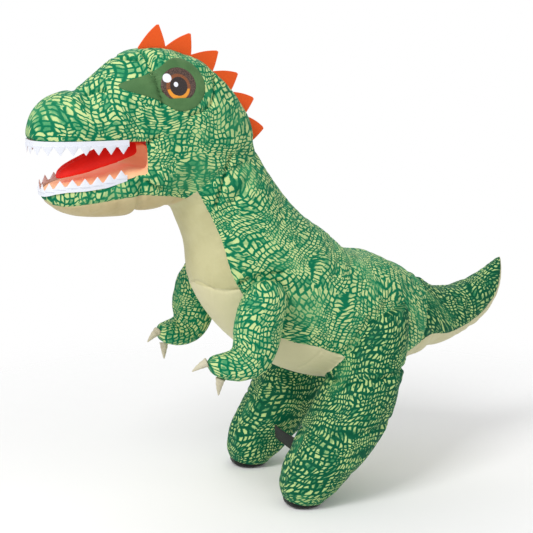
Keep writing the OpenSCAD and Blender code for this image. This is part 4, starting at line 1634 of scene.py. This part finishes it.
def edge_line(name: str, path: Array) -> bpy.types.Object:
    """Mesh of edges along a path in mm."""
    return new_mesh(name, path * MM, (), [(i, i + 1) for i in range(len(path) - 1)])


def teeth_on(path: Array, count: int, length: float, pitch: float, down: bool, name: str,
             material: bpy.types.Material) -> bpy.types.Object:
    """Felt teeth stood in a row along a lip.

    Args:
        path: points of the lip in mm.
        count: number of teeth.
        length: height of a tooth in mm.
        pitch: distance between teeth in mm.
        down: whether they point down.
        name: object name.
        material: felt.

    Returns:
        The teeth as one mesh.
    """
    recipe = Recipe(name + "_recipe", {
        "Teeth": ("NodeSocketInt", count), "Height": ("NodeSocketFloat", length * MM),
        "Width": ("NodeSocketFloat", pitch * 0.53 * MM)})
    tooth = recipe.node("GeometryNodeMeshCone", None, {
        "Vertices": 14, "Side Segments": 5, "Radius Top": length * 0.035 * MM,
        "Radius Bottom": recipe.start.outputs["Width"], "Depth": recipe.start.outputs["Height"]})
    flat = recipe.node("GeometryNodeTransform", None, {
        "Geometry": tooth.outputs[0], "Scale": (1.0, 0.17, 1.0),
        "Rotation": (math.pi if down else 0.0, 0.0, 0.0)})
    return recipe.row(edge_line(name, path), {"COUNT": ("Count", "Teeth")}, flat,
                      {"axis": "X", "pivot_axis": "Z"}, material)


def stitches_on(path: Array, spacing: float, name: str, material: bpy.types.Material,
                length: float = 3.0, thick: float = 0.55) -> bpy.types.Object:
    """A row of thread stitches along a path, spacing and sizes in mm."""
    recipe = Recipe(name + "_recipe", {"Spacing": ("NodeSocketFloat", spacing * MM),
                                       "Length": ("NodeSocketFloat", length * MM)})
    thread = recipe.node("GeometryNodeMeshCylinder", None, {
        "Vertices": 6, "Radius": thick * MM, "Depth": recipe.start.outputs["Length"]})
    return recipe.row(edge_line(name, path), {"LENGTH": ("Length", "Spacing")}, thread, {"axis": "Z"},
                      material)


def ribbon(name: str, top: Array, low: Array, thick: float, way: Array) -> bpy.types.Object:
    """Closed strip of felt between two lines.

    Args:
        name: object name.
        top: points of one edge in mm.
        low: points of the other edge in mm.
        thick: thickness in mm.
        way: direction of the thickness at each point.

    Returns:
        The strip.
    """
    count = len(top)
    half = way * thick / 2
    points = np.concatenate([top + half, low + half, top - half, low - half])
    faces = []
    for i in range(count - 1):
        for a, b in ((0, 1), (1, 3), (3, 2), (2, 0)):
            faces.append((a * count + i, b * count + i, b * count + i + 1, a * count + i + 1))
    faces += [(0, 2 * count, 3 * count, count), (count - 1, 2 * count - 1, 4 * count - 1, 3 * count - 1)]
    return outward(new_mesh(name, points * MM, faces))


def tube(name: str, spots: Array, radii: Array, around: int = 20, flat: float = 1.0) -> bpy.types.Object:
    """Closed tube along points.

    Args:
        name: object name.
        spots: middle of each ring in mm.
        radii: radius of each ring in mm.
        around: points in a ring.
        flat: how much of the radius is kept across the tube.

    Returns:
        The tube.
    """
    points = []
    side = np.array([1.0, 0.0, 0.0])
    for i, spot in enumerate(spots):
        ahead = spots[min(i + 1, len(spots) - 1)] - spots[max(i - 1, 0)]
        ahead = ahead / np.linalg.norm(ahead)
        across = np.cross(ahead, side)
        across /= np.linalg.norm(across)
        other = np.cross(across, ahead)
        for j in range(around):
            turn = 2 * math.pi * j / around
            points.append(spot + radii[i] * (math.cos(turn) * other * flat + math.sin(turn) * across))
    return outward(new_mesh(name, np.array(points) * MM, tube_faces(len(spots), around)))


# ---------------------------------------------------------------- head trim
@dataclass
class HeadTrim:
    """Crest, teeth, tongue and eyes; sizes in mm."""

    looks: dict[str, bpy.types.Material]
    skins: dict[Skin, bpy.types.Object]
    spikes: int = 6
    spike_height: float = 43.0
    felt: float = 2.0
    upper_teeth: int = 18
    lower_teeth: int = 16

    def __post_init__(self) -> None:
        """Keeps a search tree of the head's skin."""
        points, faces = [], []
        for panel in (Skin.HEAD_LEFT, Skin.HEAD_RIGHT):
            mesh = self.skins[panel].data
            base = len(points)
            points += [v.co.copy() for v in mesh.vertices]
            faces += [[base + i for i in p.vertices] for p in mesh.polygons]
        self.tree = BVHTree.FromPolygons(points, faces)

    def on_flank(self, side: int, y: float, z: float, out: float) -> Array:
        """Point on the side of the head, raised by a height."""
        hit, way, _, _ = self.tree.ray_cast(Vector((side * 0.4, y * MM, z * MM)), Vector((-side, 0, 0)))
        if hit is None:
            hit, way, _, _ = self.tree.find_nearest(Vector((side * 0.09, y * MM, z * MM)))
        if way.x * side < 0:
            way = -way
        return (np.array(hit) / MM) + np.array(way) * out

    def crest(self) -> None:
        """Felt crest along the middle of the head."""
        places = np.linspace(0.75, 8.8, 160)
        ridge = SKULL.point(places, np.full(160, 90.0))
        along = np.concatenate([[0], np.cumsum(np.linalg.norm(np.diff(ridge, axis=0), axis=1))])
        along /= along[-1]
        step = np.gradient(ridge, axis=0)
        way = np.stack([np.zeros(160), -step[:, 2], step[:, 1]], -1)
        way /= np.linalg.norm(way, axis=1, keepdims=True)
        way = np.where((way[:, 2:] < 0) & (way[:, 1:2] < 0), -way, way)

        def edge(share: float, out: float) -> Array:
            """Point above the ridge at a share of its length."""
            spot = np.array([np.interp(share, along, ridge[:, k]) for k in range(3)])
            lift = np.array([np.interp(share, along, way[:, k]) for k in range(3)])
            return spot + lift * out

        tops, lows = [], []
        per = 14
        for i in range(self.spikes):
            tall = self.spike_height * (1 - 0.045 * i)
            tip_share = (i + 0.58) / self.spikes
            lift = edge(tip_share, 1) - edge(tip_share, 0)
            back = np.array([0, lift[2], -lift[1]])
            tip = edge(tip_share, 4) + (lift + 0.22 * back) * tall
            front, rear = edge(i / self.spikes, 3.2), edge((i + 1) / self.spikes, 5.0)
            for j in range(per):
                share = j / per
                if share < 0.62:
                    f = share / 0.62
                    spot = front + (tip - front) * f + (lift - 0.35 * back) * 3.0 * math.sin(math.pi * f)
                else:
                    f = (share - 0.62) / 0.38
                    spot = tip + (rear - tip) * f + (back + 0.3 * lift) * 0.8 * math.sin(math.pi * f)
                tops.append(spot)
                lows.append(edge((i + share) / self.spikes, -4.5))
        tops.append(edge(1.0, 3.0))
        lows.append(edge(1.0, -4.5))
        top, low = np.array(tops), np.array(lows)
        sway = np.zeros((len(top), 3))
        sway[:, 0] = 1
        obj = ribbon("crest_felt", top, low, self.felt * 1.5, sway)
        rounding = obj.modifiers.new("round", "BEVEL")
        rounding.width, rounding.segments = 0.0006, 2
        rounding.limit_method, rounding.angle_limit = "ANGLE", math.radians(60)
        bake(obj)
        finish_piece(obj, self.looks["orange_felt"], "orange_felt", smooth=False)
        seams = [stitches_on(np.array([edge(s, 1.4) + np.array([side * (self.felt * 0.75 + 0.2), 0, 0])
                                       for s in np.linspace(0.01, 0.99, 120)]), 5.0, f"crest_thread_{side}",
                             self.looks["orange_felt"], 2.6, 0.35) for side in (1, -1)]
        thread = joined("crest_thread", seams)
        finish_piece(thread, self.looks["orange_felt"], "orange_felt")
        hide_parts("crest")
        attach(obj, "head")
        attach(thread, "head")
        LOG.info("crest with %d spikes", self.spikes)

    def lip(self, half: float, deep: float, front: float, count: int,
            height: Callable[[Array], Array]) -> tuple[Array, Array]:
        """Line of a lip.

        Args:
            half: half width at the mouth's corners in mm.
            deep: how far the lip reaches ahead of the corners in mm.
            front: the corners' place from front to back in mm.
            count: number of points.
            height: height at a place from front to back.

        Returns:
            Points of the line and their outward directions.
        """
        turn = np.radians(np.linspace(4, 176, count))
        x = half * spow(np.cos(turn), 2 / 2.6)
        y = front - deep * np.abs(np.sin(turn)) ** (2 / 2.6)
        line = np.stack([x, y, height(y)], -1)
        way = np.stack([np.cos(turn), -np.sin(turn), np.zeros(count)], -1)
        return line, way

    def teeth(self) -> None:
        """Upper and lower felt teeth with the band that sews them to the lips."""
        low_line = lambda y: np.interp(y, *zip(*LIP_LOW))
        rows = (("upper_teeth_felt", 88.2, 203.0, -360.0, self.upper_teeth, lambda y: 0 * y + 782.0, -1,
                 "head", "upper_teeth", 10.5, 24.5),
                ("lower_teeth_felt", 79.0, 175.5, -366.0, self.lower_teeth, low_line, 1, "jaw",
                 "lower_teeth", 9.5, 22.0))
        for name, half, deep, front, count, height, sense, body, node, band, tall in rows:
            line, way = self.lip(half, deep, front, 120, height)
            far = line + np.array([0, 0, sense * band])
            near = line - np.array([0, 0, sense * 2.5])
            strip = ribbon(name + "_band", far, near, self.felt, way)
            walked = np.concatenate([[0], np.cumsum(np.linalg.norm(np.diff(line, axis=0), axis=1))])
            pitch = walked[-1] / count
            even = np.linspace(pitch / 2, walked[-1] - pitch / 2, 240)
            path = np.stack([np.interp(even, walked, line[:, k]) for k in range(3)], -1)
            path = path + np.array([0, 0, sense * (band - 4.0)])
            teeth = teeth_on(path, count, tall - band + 4.0, pitch, sense < 0, name + "_row",
                             self.looks["white_felt"])
            obj = joined(name, [strip, teeth])
            finish_piece(obj, self.looks["white_felt"], "white_felt", smooth=False)
            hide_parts(node)
            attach(obj, body)
            LOG.info("%s: %d teeth", name, count)

    def tongue(self) -> None:
        """Soft tongue with a middle crease and a curled edge."""
        rings, around = 70, 56
        places = np.linspace(0, TONGUE.last, rings)
        angles = np.arange(around) * 360 / around
        grid = TONGUE.point(np.repeat(places, around), np.tile(angles, rings)).reshape(rings, around, 3)
        dip = np.exp(-(grid[:, :, 0] / 5.0) ** 2) * np.sin(np.radians(angles))[None, :].clip(0, 1) * 3.5
        grid[:, :, 2] -= dip * np.minimum(1, np.linspace(0, 6, rings))[:, None]
        ripple = np.array([[noise.noise(Vector((p[1] * 0.05, p[0] * 0.03, side)))
                            for side, p in enumerate(row)] for row in grid])
        grid[:, :, 2] += ripple * 1.2 + np.linspace(0, 7, rings)[:, None]
        swollen = np.sin(np.radians(angles)).clip(0, 1)[None, :] * np.linspace(0, 1, rings)[:, None] ** 0.6
        grid[:, :, 2] += swollen * 16
        obj = outward(new_mesh("tongue_pad", grid.reshape(-1, 3) * MM, tube_faces(rings, around)))
        lay_cloth(obj, coordinates(obj.data)[:, :2])
        finish_piece(obj, self.looks["red_cloth"], "red_cloth")
        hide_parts("tongue")
        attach(obj, "jaw")
        LOG.info("tongue")

    def eye(self, side: int) -> None:
        """Olive patch and printed eye on one side of the head."""
        word = "left" if side > 0 else "right"
        for name, finish, y0, z0, ry, rz, beak, lift, thick, node in (
                ("eye_patch", "olive_cloth", -279.0, 887.0, 52.0, 50.5, 1.32, 1.0, 0.8, "eye_patch"),
                ("eye_print", "brown_print", -283.0, 887.5, 35.5, 32.0, 0.0, 1.9, 0.8, "eye_disc")):
            rings, around = 26, 96
            points, flat = [], []
            for level in (0, 1):
                for i in range(rings + 1):
                    for j in range(around):
                        turn = 2 * math.pi * j / around
                        reach = i / rings
                        c, s = math.cos(turn), math.sin(turn)
                        along = reach * (1 + beak * max(-c, 0) ** 7)
                        height = s * (1 - 0.25 * max(-c, 0) ** 2 * (beak > 0))
                        if finish == "brown_print":
                            height = max(height, -0.80)
                        y, z = y0 + ry * along * c, z0 + rz * reach * height
                        above = thick * (1 - reach ** 8) if level else -0.9
                        points.append(self.on_flank(side, y, z, lift + above))
                        flat.append((y - y0, z - z0))
            ring = (rings + 1) * around
            faces = []
            for i in range(rings):
                for j in range(around):
                    k = (j + 1) % around
                    faces.append((ring + i * around + j, ring + i * around + k, ring + (i + 1) * around + k,
                                  ring + (i + 1) * around + j))
                    faces.append((i * around + j, (i + 1) * around + j, (i + 1) * around + k, i * around + k))
            rim = rings * around
            faces += [(rim + j, ring + rim + j, ring + rim + (j + 1) % around, rim + (j + 1) % around)
                      for j in range(around)]
            obj = new_mesh(f"{word}_{name}_cloth", np.array(points) * MM, faces)
            lay_cloth(obj, np.array(flat) * MM)
            outward(obj, 1e-6)
            finish_piece(obj, self.looks[finish], finish)
            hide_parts(f"{word}_{node}")
            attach(obj, "head")
        LOG.info("%s eye", word)

    def build(self) -> None:
        """Makes all the trim."""
        self.crest()
        self.teeth()
        self.tongue()
        for side in (1, -1):
            self.eye(side)


# ---------------------------------------------------------------- claws and strap
@dataclass
class LimbTrim:
    """Claws and the strap between the legs; sizes in mm."""

    looks: dict[str, bpy.types.Material]
    claw_length: float = 33.0
    claw_radius: float = 9.0
    strap_half: float = 66.0
    strap_width: float = 30.0
    strap_thick: float = 2.0

    def claws(self, side: int) -> None:
        """Two padded cone claws on one hand, a little hooked and wrinkled."""
        word = "left" if side > 0 else "right"
        parts = []
        for number, (x, y, z, dx, dy, dz) in enumerate(CLAWS):
            way = np.array([dx * side, dy, dz])
            way /= np.linalg.norm(way)
            root = np.array([x * side, y, z]) - way * 3.0
            share = np.linspace(0, 1, 26)
            bend = np.array([0, 0, -1.0]) - way * way[2] * -1.0
            bend = bend / max(np.linalg.norm(bend), 1e-6)
            spots = root + way * share[:, None] * (self.claw_length + 3) + bend * (share ** 2)[:, None] * 4.5
            radii = self.claw_radius * (1 - share) ** 0.8 + 0.8
            radii = radii * (1 + 0.05 * np.sin(share * 21 + number))
            parts.append(tube(f"claw_{number}", spots, radii))
        obj = joined(f"{word}_claw_pads", parts)
        points = coordinates(obj.data)
        lay_cloth(obj, points[:, 1:])
        finish_piece(obj, self.looks["claw_cloth"], "claw_cloth")
        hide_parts(f"{word}_claws")
        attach(obj, f"{word}_arm")
        LOG.info("%s claws", word)

    def strap(self) -> None:
        """Webbing strap with a slight twist and its rows of stitches."""
        count = 61
        x = np.linspace(-self.strap_half, self.strap_half, count)
        sag = -3.0 * (1 - (x / self.strap_half) ** 2)
        lean = 1.4 * np.sin(x / self.strap_half * 2.2)
        middle = np.stack([x, 1 + lean * 0, 94 + sag], -1)
        lift = np.stack([0 * x, lean, np.full(count, self.strap_width / 2)], -1)
        way = np.tile([0.0, 1.0, 0.0], (count, 1))
        obj = ribbon("leg_strap_webbing", middle + lift, middle - lift, self.strap_thick, way)
        finish_piece(obj, self.looks["webbing"], "black_webbing", smooth=False)
        rows = []
        for face in (-1, 1):
            for edge in (-1, 1):
                line = middle + lift * 0.84 * edge + way * face * (self.strap_thick / 2 + 0.1)
                rows.append(stitches_on(line, 4.0, f"thread_{face}_{edge}", self.looks["webbing"], 2.8, 0.35))
        thread = joined("leg_strap_thread", rows)
        finish_piece(thread, self.looks["webbing"], "black_webbing")
        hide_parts("leg_strap")
        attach(obj, "torso")
        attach(thread, "torso")
        LOG.info("strap")

    def build(self) -> None:
        """Makes the claws and the strap."""
        for side in (1, -1):
            self.claws(side)
        self.strap()


@dataclass
class Blower:
    """The blower's CAD pieces, kept with their own finishes."""

    looks: dict[str, bpy.types.Material]

    def build(self) -> None:
        """Dresses every blower piece."""
        slots = {"fan_housing": "black_plastic", "intake_grille": "black_plastic",
                 "clamp_ring": "black_plastic",
                 "battery_case": "black_plastic", "battery_cap": "black_plastic", "impeller": "grey_plastic",
                 "fan_motor": "motor_steel", "cells": "cell_jacket", "contact_plate": "nickel",
                 "power_switch": "red_plastic"}
        for node, finish in slots.items():
            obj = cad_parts[node]
            if not obj.material_slots:
                obj.data.materials.append(self.looks[finish])
            for slot in obj.material_slots:
                slot.material = self.looks[finish]
        LOG.info("blower: %d pieces", len(slots))


# ---------------------------------------------------------------- studio
@dataclass
class Studio:
    """Pale floor, soft lights and the camera; lengths in metres, angles in degrees."""

    azimuth: float = 65.0
    elevation: float = 11.64
    distance: float = 2.987
    target: tuple = (0.0, -0.0517, 0.4884)
    lens: float = 94.49

    def floor(self) -> None:
        """Large pale floor."""
        side = 14.0
        corners = [(-side, -side, 0), (side, -side, 0), (side, side, 0), (-side, side, 0)]
        obj = new_mesh("floor", np.array(corners), [(0, 1, 2, 3)])
        g = Graph("floor_paint")
        spot = g.spot()
        tone = g.noise(spot, 2.0, 2.0)
        paint = g.mix(tone * 0.3, (0.95, 0.95, 0.95), (0.91, 0.91, 0.91))
        across, along = g.node("ShaderNodeSeparateXYZ", None, {"Vector": spot})[:2]
        fade = ((across ** 2 + along ** 2) ** 0.5).step(1.5, 0.55)
        obj.data.materials.append(g.surface({"Base Color": paint, "Roughness": 0.9, "Specular IOR Level": 0.1,
                                             "Alpha": fade}))

    def light(self, name: str, place: tuple, size: float, power: float) -> None:
        """One soft area light aimed at the middle of the dinosaur."""
        data = bpy.data.lights.new(name, "AREA")
        data.size, data.energy = size, power
        obj = placed(name, data)
        obj.location = place
        obj.rotation_euler = (Vector((0, 0, 0.5)) - Vector(place)).to_track_quat("-Z", "Y").to_euler()

    def build(self) -> None:
        """Makes the studio."""
        self.floor()
        self.light("key", (1.6, -2.6, 3.4), 1.5, 92)
        self.light("fill", (3.0, 2.4, 1.8), 2.6, 20)
        self.light("low", (1.6, -3.2, 0.5), 1.2, 16)
        self.light("back", (-2.6, 1.2, 3.0), 2.2, 26)
        world = bpy.data.worlds.new("studio")
        bpy.context.scene.world = world
        world.use_nodes = True
        back = world.node_tree.nodes["Background"]
        back.inputs[0].default_value = (1, 1, 1, 1)
        seen = world.node_tree.nodes.new("ShaderNodeLightPath")
        power = world.node_tree.nodes.new("ShaderNodeMapRange")
        world.node_tree.links.new(seen.outputs["Is Camera Ray"], power.inputs["Value"])
        power.inputs["To Min"].default_value = 0.6
        power.inputs["To Max"].default_value = 1.0
        world.node_tree.links.new(power.outputs[0], back.inputs[1])
        camera = placed("camera", bpy.data.cameras.new("camera"))
        turn, rise = math.radians(self.azimuth), math.radians(self.elevation)
        away = Vector((math.sin(turn) * math.cos(rise), -math.cos(turn) * math.cos(rise), math.sin(rise)))
        camera.location = Vector(self.target) + away * self.distance
        camera.rotation_euler = (-away).to_track_quat("-Z", "Y").to_euler()
        camera.data.lens, camera.data.sensor_width = self.lens, 36.0
        camera.data.clip_start = 0.05
        bpy.context.scene.camera = camera
        bpy.context.scene.view_settings.view_transform = "Standard"


def main() -> None:
    logging.basicConfig(level=logging.INFO, format="%(name)s: %(message)s")
    Studio().build()
    looks = finishes()
    skins = SewnSkin(looks).build()
    HeadTrim(looks, skins).build()
    LimbTrim(looks).build()
    Blower(looks).build()


if __name__ == "__main__":
    main()
